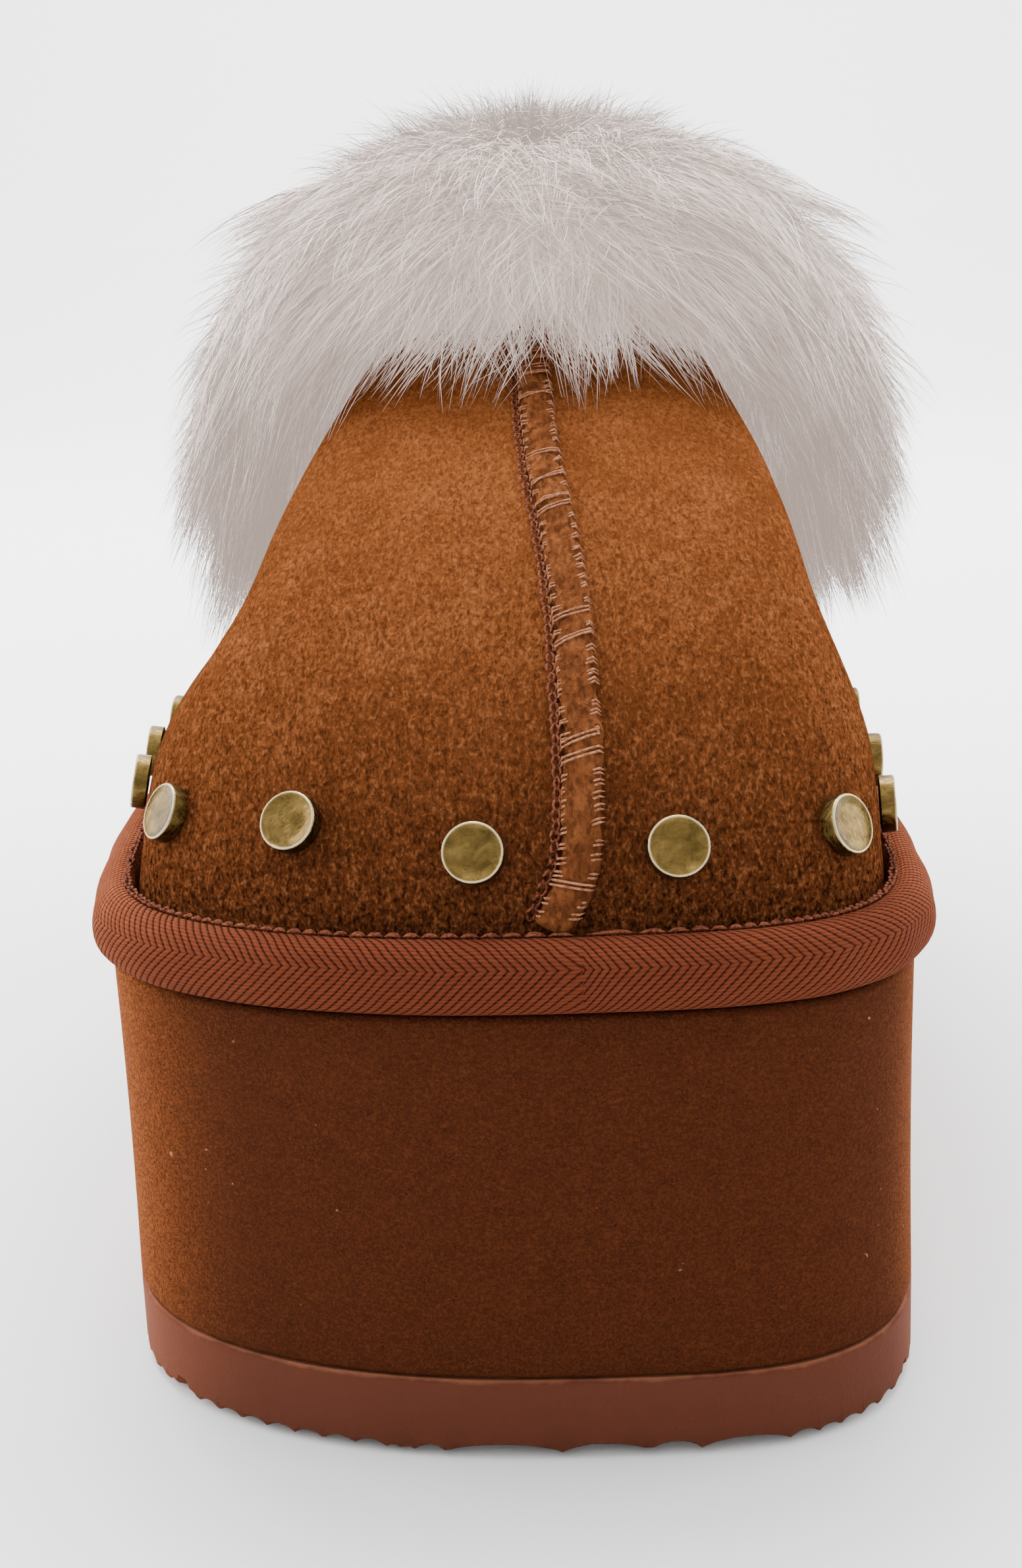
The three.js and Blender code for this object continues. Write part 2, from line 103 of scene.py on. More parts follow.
# %% Curves of the last
def table_value(table, column, along):
    """Smooth curve through a column of a table."""
    x = np.array(table["along"], float)
    y = np.array(table[column], float)
    slope = np.empty(len(x))
    slope[1:-1] = (y[2:] - y[:-2]) / (x[2:] - x[:-2])
    slope[0] = (y[1] - y[0]) / (x[1] - x[0])
    slope[-1] = (y[-1] - y[-2]) / (x[-1] - x[-2])
    k = np.clip(np.searchsorted(x, along, side="left") - 1, 0, len(x) - 2)
    gap = x[k + 1] - x[k]
    t = (along - x[k]) / gap
    return (
        y[k] * (2 * t**3 - 3 * t**2 + 1)
        + y[k + 1] * (3 * t**2 - 2 * t**3)
        + slope[k] * gap * (t**3 - 2 * t**2 + t)
        + slope[k + 1] * gap * (t**3 - t**2)
    )


def smoothstep(x, low, high):
    t = np.clip((x - low) / (high - low), 0, 1)
    return t * t * (3 - 2 * t)


def platform_top(y):
    along = y / LENGTH
    spring = TOE_SPRING * np.maximum(1 - along / 0.32, 0) ** 2
    return PLATFORM_HEIGHT + spring + HEEL_LIFT * smoothstep(along, 0.32, 0.9)


def rounded_end(distance, depth, power):
    rest = 1 - np.clip(distance / depth, 0, 1)
    return (1 - rest**power) ** (1 / power)


def along_of(turn):
    return (1 - np.cos(2 * np.pi * turn)) / 2


def outline(turn):
    turn = np.asarray(turn, float)
    along = along_of(turn)
    is_inner = (turn % 1) < 0.5
    width = BALL_WIDTH + (HEEL_WIDTH - BALL_WIDTH) * smoothstep(along, 0.36, 0.85)
    halves = {}
    for side in ("inner", "outer"):
        toe = rounded_end(along * LENGTH, TOE_DEPTH[side], TOE_POWER[side])
        halves[side] = width * table_value(SOLE_SIDES, side, along) * toe
    heel = rounded_end((1 - along) * LENGTH, HEEL_DEPTH, 2.2)
    half = np.where(is_inner, halves["inner"], -halves["outer"]) * heel
    middle = TOE_SHIFT + (HEEL_SHIFT - TOE_SHIFT) * along
    return np.stack([middle + half, along * LENGTH], -1)


def plan_normal(line, turn):
    run = line(turn + 0.004) - line(turn - 0.004)
    run /= np.linalg.norm(run, axis=-1, keepdims=True)
    return np.stack([run[..., 1], -run[..., 0]], -1)


def wall_point(turn, inset):
    inset = np.asarray(inset, float)[..., None]
    return outline(turn) - plan_normal(outline, turn) * inset


# %% Curves of the collar and the upper
def collar_plan(turn):
    along = along_of(turn)
    side = np.sin(2 * np.pi * np.asarray(turn, float))
    half = COLLAR_WIDTH / 2 * np.sign(side) * np.abs(side) ** 1.05
    middle = COLLAR_SHIFT * table_value(COLLAR_LINE, "shift", along)
    y = THROAT + (LENGTH - BACK - THROAT) * along
    return np.stack([middle + half, y], -1)


def collar_frame(turn):
    """Collar's edge, with the directions up along the wall and off it."""
    along = along_of(turn)
    plan = collar_plan(turn)
    lift = table_value(COLLAR_LINE, "height", along)
    height = HEEL_HEIGHT + (INSTEP - HEEL_HEIGHT) * lift
    edge = np.concatenate([plan, (platform_top(plan[..., 1]) + height)[..., None]], -1)
    out = plan_normal(collar_plan, turn)
    slope = np.radians(table_value(COLLAR_LINE, "slope", along))[..., None]
    rise = np.concatenate([-out * np.cos(slope), np.sin(slope)], -1)
    off = np.concatenate([out * np.sin(slope), np.cos(slope)], -1)
    return edge, rise, off


def upper_point(turn, share):
    turn, share = np.broadcast_arrays(np.asarray(turn, float), np.asarray(share, float))
    along = along_of(turn)
    foot = wall_point(turn, np.full(turn.shape, LEDGE))
    start = np.concatenate([foot, (platform_top(foot[..., 1]) + GAP)[..., None]], -1)
    edge, rise, _ = collar_frame(turn)
    reach = np.linalg.norm(edge - start, axis=-1)
    steep = start.copy()
    steep[..., 2] += table_value(COLLAR_LINE, "steep", along) * reach
    gentle = edge - rise * (table_value(COLLAR_LINE, "gentle", along) * reach)[..., None]
    t = share[..., None]
    point = start * (1 - t) ** 3 + 3 * steep * t * (1 - t) ** 2
    point = point + 3 * gentle * t**2 * (1 - t) + edge * t**3
    swell = BALL_SWELL * smoothstep(share, 0.09, 0.24) * (1 - smoothstep(share, 0.26, 0.52))
    waist = WAIST_DEPTH * smoothstep(share, 0.22, 0.5) * (1 - smoothstep(share, 0.6, 1))
    at_side = smoothstep(along, 0.02, 0.14) * (1 - smoothstep(along, 0.42, 0.64))
    point[..., :2] += plan_normal(outline, turn) * (at_side * (swell - waist))[..., None]
    return point


def upper_normal(turn, share):
    across = upper_point(turn + 0.004, share) - upper_point(turn - 0.004, share)
    up = upper_point(turn, share + 0.004) - upper_point(turn, share - 0.004)
    normal = np.cross(across, up)
    return normal / np.linalg.norm(normal, axis=-1, keepdims=True)


def share_at_rise(turn, rise):
    low = np.zeros(np.shape(turn))
    high = np.ones(np.shape(turn))
    for _ in range(24):
        share = (low + high) / 2
        point = upper_point(turn, share)
        below = point[..., 2] < platform_top(point[..., 1]) + rise
        low = np.where(below, share, low)
        high = np.where(below, high, share)
    return low


# The toe tip's place among the solids
sole_low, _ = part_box("midsole")
turns = np.linspace(0, 1, 721)
ORIGIN = np.array([sole_low[0] - outline(turns)[:, 0].min(), sole_low[1], 0.0])
print("toe tip lies at", ORIGIN + np.array([TOE_SHIFT, 0, 0]))


# %% [markdown]
# Most pieces of a shoe are drawn-out rings: a wall round the foot, a tape round the rim, a roll
# round the collar. So one helper adds a circle and extrudes it from ring to ring, putting each
# new ring's points in place. Every point remembers its station and its ring, and the UV map is
# made from them, measured in centimetres along the piece so that a weave keeps its scale.

# %% Helpers for modelling
def choose(*pieces):
    if bpy.context.object and bpy.context.object.mode != "OBJECT":
        bpy.ops.object.mode_set(mode="OBJECT")
    bpy.ops.object.select_all(action="DESELECT")
    for piece in pieces:
        piece.select_set(True)
    if pieces:
        bpy.context.view_layer.objects.active = pieces[0]


def edit_layers(piece):
    """Mesh in edit mode, with the layers that say each point's station and ring."""
    mesh = bmesh.from_edit_mesh(piece.data)
    layers = mesh.verts.layers.int
    return mesh, layers["station"], layers["ring"]


def set_selected(piece, ring, number):
    mesh, station, ring_layer = edit_layers(piece)
    for vertex in mesh.verts:
        if vertex.select:
            vertex.co = ring[vertex[station]]
            vertex[ring_layer] = number


def loft(name, rings, looped=False, caps=(False, False)):
    """Extrudes a circle through rings of points, which are arrays of the same count."""
    choose()
    rings = [ring + ORIGIN for ring in rings]
    count = len(rings[0])
    bpy.ops.mesh.primitive_circle_add(vertices=count, radius=0.05)
    piece = bpy.context.object
    piece.name = name
    piece.data.name = name
    bpy.ops.object.mode_set(mode="EDIT")
    mesh = bmesh.from_edit_mesh(piece.data)
    for layer in ("station", "ring"):
        mesh.verts.layers.int.new(layer)
    station = mesh.verts.layers.int["station"]
    for i, vertex in enumerate(mesh.verts):
        vertex[station] = i
    set_selected(piece, rings[0], 0)
    if caps[0]:
        bpy.ops.mesh.edge_face_add()
    for number, ring in enumerate(rings[1:], 1):
        bpy.ops.mesh.select_all(action="DESELECT")
        mesh, station, ring_layer = edit_layers(piece)
        for edge in mesh.edges:
            a, b = edge.verts
            on_ring = a[ring_layer] == b[ring_layer] == number - 1
            edge.select = on_ring and abs(a[station] - b[station]) in (1, count - 1)
        bpy.ops.mesh.extrude_edges_move()
        set_selected(piece, ring, number)
    if caps[1]:
        bpy.ops.mesh.edge_face_add()
    if looped:
        mesh = bmesh.from_edit_mesh(piece.data)
        for edge in mesh.edges:
            edge.select = edge.is_boundary
        bpy.ops.mesh.bridge_edge_loops()
    bpy.ops.mesh.select_all(action="SELECT")
    bpy.ops.mesh.normals_make_consistent(inside=False)
    bpy.ops.object.mode_set(mode="OBJECT")
    bpy.ops.object.shade_smooth()
    map_rings(piece, rings)
    print(name, "has", len(piece.data.polygons), "faces")
    return piece


def map_rings(piece, rings):
    """UV map: centimetres round the first ring, and centimetres across the rings."""
    data = piece.data
    count = len(rings[0])
    step = np.linalg.norm(np.roll(rings[0], -1, 0) - rings[0], axis=1)
    run = np.concatenate([[0], np.cumsum(step)]) * 100
    middle = [ring[: count // 4].mean(0) for ring in rings]
    rise = np.linalg.norm(np.diff(middle + [middle[0]], axis=0), axis=1)
    climb = np.concatenate([[0], np.cumsum(rise)]) * 100
    station = np.empty(len(data.vertices), np.int32)
    number = np.empty(len(data.vertices), np.int32)
    data.attributes["station"].data.foreach_get("value", station)
    data.attributes["ring"].data.foreach_get("value", number)
    layer = data.uv_layers[0]
    layer.name = "UVMap"
    uv = np.empty((len(data.loops), 2))
    for face in data.polygons:
        loops = list(face.loop_indices)
        corners = [data.loops[k].vertex_index for k in loops]
        s = station[corners]
        r = number[corners]
        s = np.where((s == 0) & (s.max() == count - 1), count, s)
        r = np.where((r == 0) & (r.max() == len(rings) - 1) & (len(rings) > 2), len(rings), r)
        uv[loops, 0] = run[s]
        uv[loops, 1] = climb[r]
    layer.data.foreach_set("uv", uv.ravel())


def apply_modifier(piece, kind, **settings):
    choose(piece)
    modifier = piece.modifiers.new(kind.title(), kind)
    for key, value in settings.items():
        setattr(modifier, key, value)
    bpy.ops.object.modifier_apply(modifier=modifier.name)


def link_mesh(name, data):
    piece = bpy.data.objects.new(name, data)
    bpy.context.collection.objects.link(piece)
    return piece


def platform_ring(stations, inset, height):
    turn = np.arange(stations) / stations
    plan = wall_point(turn, np.broadcast_to(inset, turn.shape))
    z = height(plan[:, 1]) if callable(height) else np.broadcast_to(height, turn.shape)
    return np.concatenate([plan, z[:, None]], 1)


def finish_piece(piece, material, slot, *nodes):
    piece.data.materials.clear()
    piece.data.materials.append(material)
    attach(piece, "root")
    if nodes:
        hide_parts(*nodes)


# %% [markdown]
# Materials are node trees. A small builder keeps them short: it adds a node, sets its inputs and
# links what is given as a socket. Three effects are shared and become node groups. The nap group
# gives the short uneven fibres of suede and fleece, and the pores group gives the tiny pits of
# foam and moulded rubber. A third one masks the front of the toe, where painted shade darkens
# the colour all the way up.

# %% Helpers for materials
def add_node(tree, kind, inputs=None, **settings):
    node = tree.nodes.new(kind)
    for key, value in settings.items():
        setattr(node, key, value)
    for key, value in (inputs or {}).items():
        socket = node.inputs[key]
        if isinstance(value, bpy.types.NodeSocket):
            tree.links.new(value, socket)
        else:
            socket.default_value = value
    return node


def new_material(name, roughness, **constants):
    material = bpy.data.materials.new(name)
    material.use_nodes = True
    tree = material.node_tree
    shader = tree.nodes["Principled BSDF"]
    shader.inputs["Roughness"].default_value = roughness
    for key, value in constants.items():
        shader.inputs[key.replace("_", " ")].default_value = value
    return material, tree, shader


def noise(tree, vector, scale, detail=4.0, rough=0.5, distortion=0.0):
    sizes = {"Vector": vector, "Scale": scale, "Detail": detail}
    sizes.update({"Roughness": rough, "Distortion": distortion})
    return add_node(tree, "ShaderNodeTexNoise", sizes).outputs["Fac"]


def ramp(tree, value, stops):
    node = add_node(tree, "ShaderNodeValToRGB", {"Fac": value})
    elements = node.color_ramp.elements
    while len(elements) < len(stops):
        elements.new(0.5)
    for element, (place, color) in zip(elements, stops):
        element.position = place
        element.color = (*color, 1) if len(color) == 3 else color
    return node.outputs["Color"]


def math_node(tree, operation, a, b=0.0, c=0.0):
    return add_node(tree, "ShaderNodeMath", {0: a, 1: b, 2: c}, operation=operation).outputs[0]


def mix_color(tree, fac, a, b, blend="MIX"):
    node = add_node(tree, "ShaderNodeMix", data_type="RGBA", blend_type=blend)
    for socket, value in ((node.inputs[0], fac), (node.inputs[6], a), (node.inputs[7], b)):
        if isinstance(value, bpy.types.NodeSocket):
            tree.links.new(value, socket)
        else:
            socket.default_value = value
    return node.outputs[2]


def veil(tree, mask, amount, color, over):
    """Lays one colour over another where the mask is, as strongly as the amount says."""
    return mix_color(tree, math_node(tree, "MULTIPLY", mask, amount), color, (*over, 1))


def map_range(tree, value, low, high, start=0.0, end=1.0, **settings):
    """Goes from start to end while the value goes from low to high."""
    sizes = {"Value": value, "From Min": low, "From Max": high, "To Min": start, "To Max": end}
    return add_node(tree, "ShaderNodeMapRange", sizes, **settings).outputs[0]


def paint(tree, shader, color):
    tree.links.new(color, shader.inputs["Base Color"])


def bump(tree, shader, height, strength, distance):
    sizes = {"Height": height, "Strength": strength, "Distance": distance}
    node = add_node(tree, "ShaderNodeBump", sizes)
    tree.links.new(node.outputs["Normal"], shader.inputs["Normal"])


def attribute(tree, name, output="Fac"):
    return add_node(tree, "ShaderNodeAttribute", attribute_name=name).outputs[output]


def use_group(tree, group, place, **values):
    inputs = {"Vector": place, **values}
    return add_node(tree, "ShaderNodeGroup", inputs, node_tree=group).outputs


def object_coordinates(tree):
    return add_node(tree, "ShaderNodeTexCoord").outputs["Object"]


def uv_coordinates(tree):
    return add_node(tree, "ShaderNodeUVMap", uv_map="UVMap").outputs["UV"]


def new_group(name, inputs, outputs):
    """Node group that reads a place and some numbers, and gives numbers."""
    group = bpy.data.node_groups.new(name, "ShaderNodeTree")
    add_socket = group.interface.new_socket
    add_socket("Vector", in_out="INPUT", socket_type="NodeSocketVector")
    for label, value in inputs.items():
        socket = add_socket(label, in_out="INPUT", socket_type="NodeSocketFloat")
        socket.default_value = value
    for label in outputs:
        add_socket(label, in_out="OUTPUT", socket_type="NodeSocketFloat")
    start = group.nodes.new("NodeGroupInput").outputs
    end = group.nodes.new("NodeGroupOutput").inputs
    return group, start, end


# %% Shared effects: nap and pores
nap_group, nap_in, nap_out = new_group("Nap", {"Scale": 1400.0}, ("Height", "Pits"))
combed = add_node(
    nap_group,
    "ShaderNodeMapping",
    {"Vector": nap_in["Vector"], "Rotation": (0.5, 0.2, 0.4), "Scale": (1.0, 0.42, 0.7)},
)
fibres = noise(nap_group, combed.outputs[0], nap_in["Scale"], 5.0, 0.65, 0.6)
wide = math_node(nap_group, "MULTIPLY", nap_in["Scale"], 0.5)
clumps = noise(nap_group, combed.outputs[0], wide, 3.0, 0.55, 0.4)
soft_clumps = math_node(nap_group, "MULTIPLY", clumps, 0.7)
nap_height = math_node(nap_group, "MULTIPLY_ADD", fibres, 0.6, soft_clumps)
nap_group.links.new(nap_height, nap_out["Height"])
nap_group.links.new(map_range(nap_group, nap_height, 0.5, 0.74), nap_out["Pits"])

pore_group, pore_in, pore_out = new_group(
    "Pores", {"Scale": 1500.0, "Size": 0.3}, ("Height", "Holes")
)
cells = add_node(
    pore_group, "ShaderNodeTexVoronoi", {"Vector": pore_in["Vector"], "Scale": pore_in["Scale"]}
).outputs["Distance"]
holes = map_range(pore_group, cells, 0.0, pore_in["Size"], 1.0, 0.0)
here_and_there = noise(pore_group, pore_in["Vector"], 420.0, 2.0)
some = map_range(pore_group, here_and_there, 0.46, 0.62)
hole_mask = math_node(pore_group, "MULTIPLY", holes, some)
grain = noise(pore_group, pore_in["Vector"], pore_in["Scale"], 3.0, 0.6)
pore_height = math_node(pore_group, "MULTIPLY_ADD", hole_mask, -1.2, grain)
pore_group.links.new(pore_height, pore_out["Height"])
pore_group.links.new(hole_mask, pore_out["Holes"])

# Painted shade: the front of the toe darkens from TOE_DARK back to TOE_LIGHT.
TOE_DARK, TOE_LIGHT = -129.5 * MM, -106 * MM
painted_toe_shade_group, toe_in, toe_out = new_group("Toe shade", {"Depth": 0.5}, ("Shade",))
ahead = add_node(painted_toe_shade_group, "ShaderNodeSeparateXYZ", {0: toe_in["Vector"]}).outputs["Y"]
toe_front = map_range(
    painted_toe_shade_group, ahead, TOE_DARK, TOE_LIGHT, 1.0, 0.0, interpolation_type="SMOOTHSTEP"
)
painted_toe_shade_group.links.new(math_node(painted_toe_shade_group, "MULTIPLY", toe_front, toe_in["Depth"]), toe_out["Shade"])


def paint_toe_shade(tree, place, color, depth, dark):
    """Paints shade over the front of the toe by darkening a colour."""
    shade = use_group(tree, painted_toe_shade_group, place, Depth=depth)["Shade"]
    return mix_color(tree, shade, color, (*dark, 1))


print("shared effects:", nap_group.name, pore_group.name, painted_toe_shade_group.name)


# %% [markdown]
# The camera stands low and close in front of the toe, a little above it and rolled by about two
# degrees, as the picture was taken. Its lens follows from the picture's height in pixels. The
# floor is a plain pale sheet, and five wide lamps and a pale sky give soft studio light.

# %% Camera, floor and light
IMAGE_WIDTH, IMAGE_HEIGHT = 1552, 2380
FOCAL_PIXELS = 3131
MIDDLE_PIXEL = (770.7, 1171)
PITCH, ROLL, YAW = math.radians(14.186), math.radians(-2.281), math.radians(-1.077)
STAND = Vector((-2.22 * MM, -218 * MM, 139.7 * MM))

forward = Vector(
    (math.sin(YAW) * math.cos(PITCH), math.cos(YAW) * math.cos(PITCH), -math.sin(PITCH))
)
level = Vector((math.cos(YAW), -math.sin(YAW), 0))
upright = level.cross(forward)
right = math.cos(ROLL) * level + math.sin(ROLL) * upright
up = -math.sin(ROLL) * level + math.cos(ROLL) * upright
choose()
bpy.ops.object.camera_add(location=Vector(ORIGIN) + STAND)
camera = bpy.context.object
turned = Matrix((right, up, -forward)).transposed().to_4x4()
camera.matrix_world = Matrix.Translation(Vector(ORIGIN) + STAND) @ turned
camera.data.sensor_fit = "VERTICAL"
camera.data.sensor_height = 24
camera.data.lens = FOCAL_PIXELS / IMAGE_HEIGHT * camera.data.sensor_height
camera.data.shift_x = (IMAGE_WIDTH / 2 - MIDDLE_PIXEL[0]) / IMAGE_HEIGHT
camera.data.shift_y = (MIDDLE_PIXEL[1] - IMAGE_HEIGHT / 2) / IMAGE_HEIGHT
camera.data.clip_start = 0.01
bpy.context.scene.camera = camera
print("lens", round(camera.data.lens, 2), "mm")

choose()
bpy.ops.mesh.primitive_plane_add(size=5, location=(0, -0.7, -0.0002))
floor = bpy.context.object
floor.name = "floor"
bpy.ops.object.transform_apply(location=True, scale=True)
bpy.ops.object.mode_set(mode="EDIT")
mesh = bmesh.from_edit_mesh(floor.data)
for edge in mesh.edges:
    edge.select = all(vertex.co.y > 1 for vertex in edge.verts)
bpy.ops.mesh.extrude_region_move(TRANSFORM_OT_translate={"value": (0, 0.6, 0.35)})
bpy.ops.mesh.extrude_region_move(TRANSFORM_OT_translate={"value": (0, 0.25, 2.4)})
bpy.ops.object.mode_set(mode="OBJECT")
apply_modifier(floor, "BEVEL", width=0.5, segments=12, limit_method="ANGLE", angle_limit=0.2)
bpy.ops.object.shade_smooth()
floor_material, _, floor_shader = new_material("FloorPaper", 0.9)
floor_shader.inputs["Base Color"].default_value = (0.93, 0.93, 0.93, 1)
floor.data.materials.append(floor_material)


def add_lamp(name, place, power, size, color=(1, 1, 1), aim=(0, -0.05, 0.08)):
    choose()
    bpy.ops.object.light_add(type="AREA", location=place)
    lamp = bpy.context.object
    lamp.name = name
    lamp.data.energy = power
    lamp.data.size = size
    lamp.data.color = color
    lamp.rotation_euler = (Vector(aim) - Vector(place)).to_track_quat("-Z", "Y").to_euler()
    return lamp


add_lamp("left_lamp", (-1.2, 0.12, 0.6), 17, 0.9, (1, 0.99, 0.98))
add_lamp("right_lamp", (1.25, 0.15, 0.55), 13, 0.9, (0.99, 0.99, 1))
add_lamp("top_lamp", (-0.12, 0.5, 1.25), 21, 0.9)
add_lamp("backdrop_lamp", (0, 0.8, 1.6), 105, 1.6, aim=(0, 2.0, 0.6))
add_lamp("fill_lamp", (-0.35, -0.8, 1.35), 5, 0.9, aim=(0, 0, 0.15))
world = bpy.context.scene.world or bpy.data.worlds.new("Studio")
bpy.context.scene.world = world
world.use_nodes = True
sky = world.node_tree.nodes["Background"]
sky.inputs[0].default_value = (1, 1, 1, 1)
sky.inputs[1].default_value = 0.2


# %% [markdown]
# Suede is leather buffed until its fibres stand up. Light falls into the nap, so it is matt, with
# a soft glow at grazing angles, dark pits between the fibres and slow changes of tone where the
# nap lies another way. Its colour carries painted shade low on the wall, over the front of the
# toe and in the pits, and painted highlights on the raised nap.

# %% Suede
suede, tree, shader = new_material("Suede", 1.0, Specular_IOR_Level=0.0)
place = object_coordinates(tree)
nap = use_group(tree, nap_group, place, Scale=3300.0)
tones = noise(tree, place, 60.0, 5.0, 0.62, 0.6)
SUEDE_TONES = [
    (0.3, (0.2, 0.061, 0.016)),
    (0.5, (0.27, 0.084, 0.023)),
    (0.72, (0.34, 0.115, 0.035)),
]
base = ramp(tree, tones, SUEDE_TONES)
height_here = add_node(tree, "ShaderNodeSeparateXYZ", {0: place}).outputs["Z"]
# Painted shade: the colour darkens low on the wall.
painted_low_shade_mask = map_range(tree, height_here, 66 * MM, 116 * MM, 1.0, 0.0)
base = veil(tree, painted_low_shade_mask, 0.68, base, (0.09, 0.026, 0.01))
# Painted shade over the front of the toe.
base = paint_toe_shade(tree, place, base, 0.35, (0.1, 0.028, 0.01))
pits = math_node(tree, "POWER", nap["Pits"], 0.9)
# Painted highlight on the raised nap.
nap_highlight_mask = map_range(tree, nap["Height"], 0.7, 0.85)
base = veil(tree, nap_highlight_mask, 0.35, base, (0.42, 0.17, 0.06))
# Painted shade in the pits between the fibres, darker still low on the wall.
hollow = mix_color(tree, painted_low_shade_mask, (0.15, 0.045, 0.014, 1), (0.022, 0.007, 0.003, 1))
paint(tree, shader, mix_color(tree, pits, hollow, base))
bump(tree, shader, nap["Height"], 1.0, 1.3 * MM)

# %% [markdown]
# The upper is one hollow wall. It is extruded ring by ring from the rim to the collar's edge on
# the same ribs as its solid, and a Solidify modifier gives it its thickness inwards. Its creases
# are listed one by one: shallow troughs beside the seam, a dent over the little toe and soft waves
# where the foot bends, each with a place, a length, a breadth and a depth.

# %% Upper
CREASES = [
    # turn, share, half length in turns, half breadth in shares, depth
    (-0.012, 0.45, 0.006, 0.5, 0.5 * MM),
    (0.012, 0.45, 0.006, 0.5, 0.6 * MM),
    (-0.045, 0.52, 0.02, 0.05, 0.45 * MM),
    (-0.085, 0.42, 0.03, 0.05, 0.5 * MM),
    (0.05, 0.62, 0.02, 0.04, -0.4 * MM),
    (0.075, 0.4, 0.03, 0.06, 0.5 * MM),
    (0.16, 0.55, 0.03, 0.08, 0.7 * MM),
    (-0.17, 0.55, 0.035, 0.08, 0.8 * MM),
    (0.3, 0.5, 0.03, 0.12, 0.5 * MM),
    (-0.3, 0.5, 0.03, 0.12, 0.5 * MM),
]


def crease_depth(turn, share):
    depth = np.zeros(np.broadcast(turn, share).shape)
    for at_turn, at_share, length, breadth, deep in CREASES:
        away = (turn - at_turn + 0.5) % 1 - 0.5
        fall = np.exp(-((away / length) ** 2) - ((share - at_share) / breadth) ** 2)
        depth = depth + deep * fall
    return depth


UPPER_STATIONS = 180
upper_turns = np.arange(UPPER_STATIONS) / UPPER_STATIONS
upper_rings = []
for share in np.concatenate([np.linspace(0, 0.2, 9), np.linspace(0.2, 1, 24)[1:]]):
    shares = np.full(UPPER_STATIONS, share)
    point = upper_point(upper_turns, shares)
    off = upper_normal(upper_turns, shares)
    fade = smoothstep(share, 0.12, 0.25)
    upper_rings.append(point - off * (crease_depth(upper_turns, share) * fade)[:, None])
upper = loft("suede_upper", upper_rings)
apply_modifier(upper, "SOLIDIFY", thickness=WALL, offset=-1, use_even_offset=False)
apply_modifier(upper, "SUBSURF", levels=1, render_levels=1)
finish_piece(upper, suede, "suede", "upper")

# %% [markdown]
# The platform is cut from a block of foam, so its wall is plain and nearly upright, with fine
# open pores, a little lint and a top edge that hides under the binding. Its colour is the
# leather's, a shade redder, with painted shade over the front of the toe and in the pores.

# %% Foam platform
foam, tree, shader = new_material("PlatformFoam", 0.95, Specular_IOR_Level=0.03)
place = object_coordinates(tree)
pores = use_group(tree, pore_group, place, Scale=3000.0, Size=0.42)
slow = noise(tree, place, 16.0, 3.0)
base = ramp(tree, slow, [(0.3, (0.35, 0.1, 0.024)), (0.7, (0.42, 0.122, 0.03))])
fine = noise(tree, place, 2700.0, 3.0, 0.65, 0.8)
worms = map_range(tree, fine, 0.4, 0.6)
# Painted shade over the front of the toe.
base = paint_toe_shade(tree, place, base, 0.92, (0.055, 0.014, 0.006))
# Painted shade in the foam's pores and fine grain.
FOAM_PAINTED_SHADE = (0.035, 0.009, 0.003)
grainy = math_node(tree, "MULTIPLY_ADD", worms, 0.75, 0.25)
speckled = mix_color(tree, grainy, (*FOAM_PAINTED_SHADE, 1), base)
lint = map_range(tree, noise(tree, place, 700.0, 1.0), 0.79, 0.82)
speckled = veil(tree, lint, 0.5, speckled, (0.55, 0.28, 0.15))
paint(tree, shader, veil(tree, pores["Holes"], 0.85, speckled, FOAM_PAINTED_SHADE))
rough_skin = math_node(tree, "MULTIPLY_ADD", worms, 0.6, pores["Height"])
bump(tree, shader, rough_skin, 0.7, 0.4 * MM)


def shelf(y):
    return platform_top(y) - LEDGE_DROP


FOAM_FLOOR = OUTSOLE + GAP
foam_rings = [platform_ring(240, 0.5 * MM, FOAM_FLOOR)]
for share in np.linspace(0.02, 0.98, 7):
    pinch = 0.25 * MM * math.sin(math.pi * share)
    foam_rings.append(
        platform_ring(240, pinch, lambda y, s=share: FOAM_FLOOR + (shelf(y) - FOAM_FLOOR) * s)
    )
foam_rings += [
    platform_ring(240, 0.4 * MM, shelf),
    platform_ring(240, LEDGE, shelf),
    platform_ring(240, LEDGE + 0.2 * MM, platform_top),
    platform_ring(240, LEDGE + 4 * MM, platform_top),
]
platform = loft("foam_platform", foam_rings, caps=(True, True))
finish_piece(platform, foam, "platform_foam", "midsole")

# %% [markdown]
# The outsole is a moulded sheet of rubber. Its lower edge is scalloped where small tread arcs run
# out, which shows as a row of shallow arches with points between them. The wide grooves of the
# tread are cut last, each one extruded as a bent bar and taken away with a Boolean modifier.

# %% Rubber outsole
rubber, tree, shader = new_material("OutsoleRubber", 0.8, Specular_IOR_Level=0.08)
place = object_coordinates(tree)
pores = use_group(tree, pore_group, place, Scale=1500.0, Size=0.22)
slow = noise(tree, place, 30.0, 4.0, 0.6)
base = ramp(tree, slow, [(0.3, (0.185, 0.054, 0.025)), (0.7, (0.225, 0.067, 0.032))])
# Painted shade over the front of the toe.
base = paint_toe_shade(tree, place, base, 0.78, (0.05, 0.014, 0.008))
base = veil(tree, noise(tree, place, 2600.0, 3.0, 0.6), 0.5, base, (0.08, 0.022, 0.011))
height_here = add_node(tree, "ShaderNodeSeparateXYZ", {0: place}).outputs["Z"]
wavy = math_node(tree, "MULTIPLY_ADD", noise(tree, place, 260.0, 3.0), 1.2 * MM, height_here)
top_line = map_range(tree, wavy, 10.45 * MM, 10.8 * MM)
base = veil(tree, top_line, 0.5, base, (0.26, 0.1, 0.05))
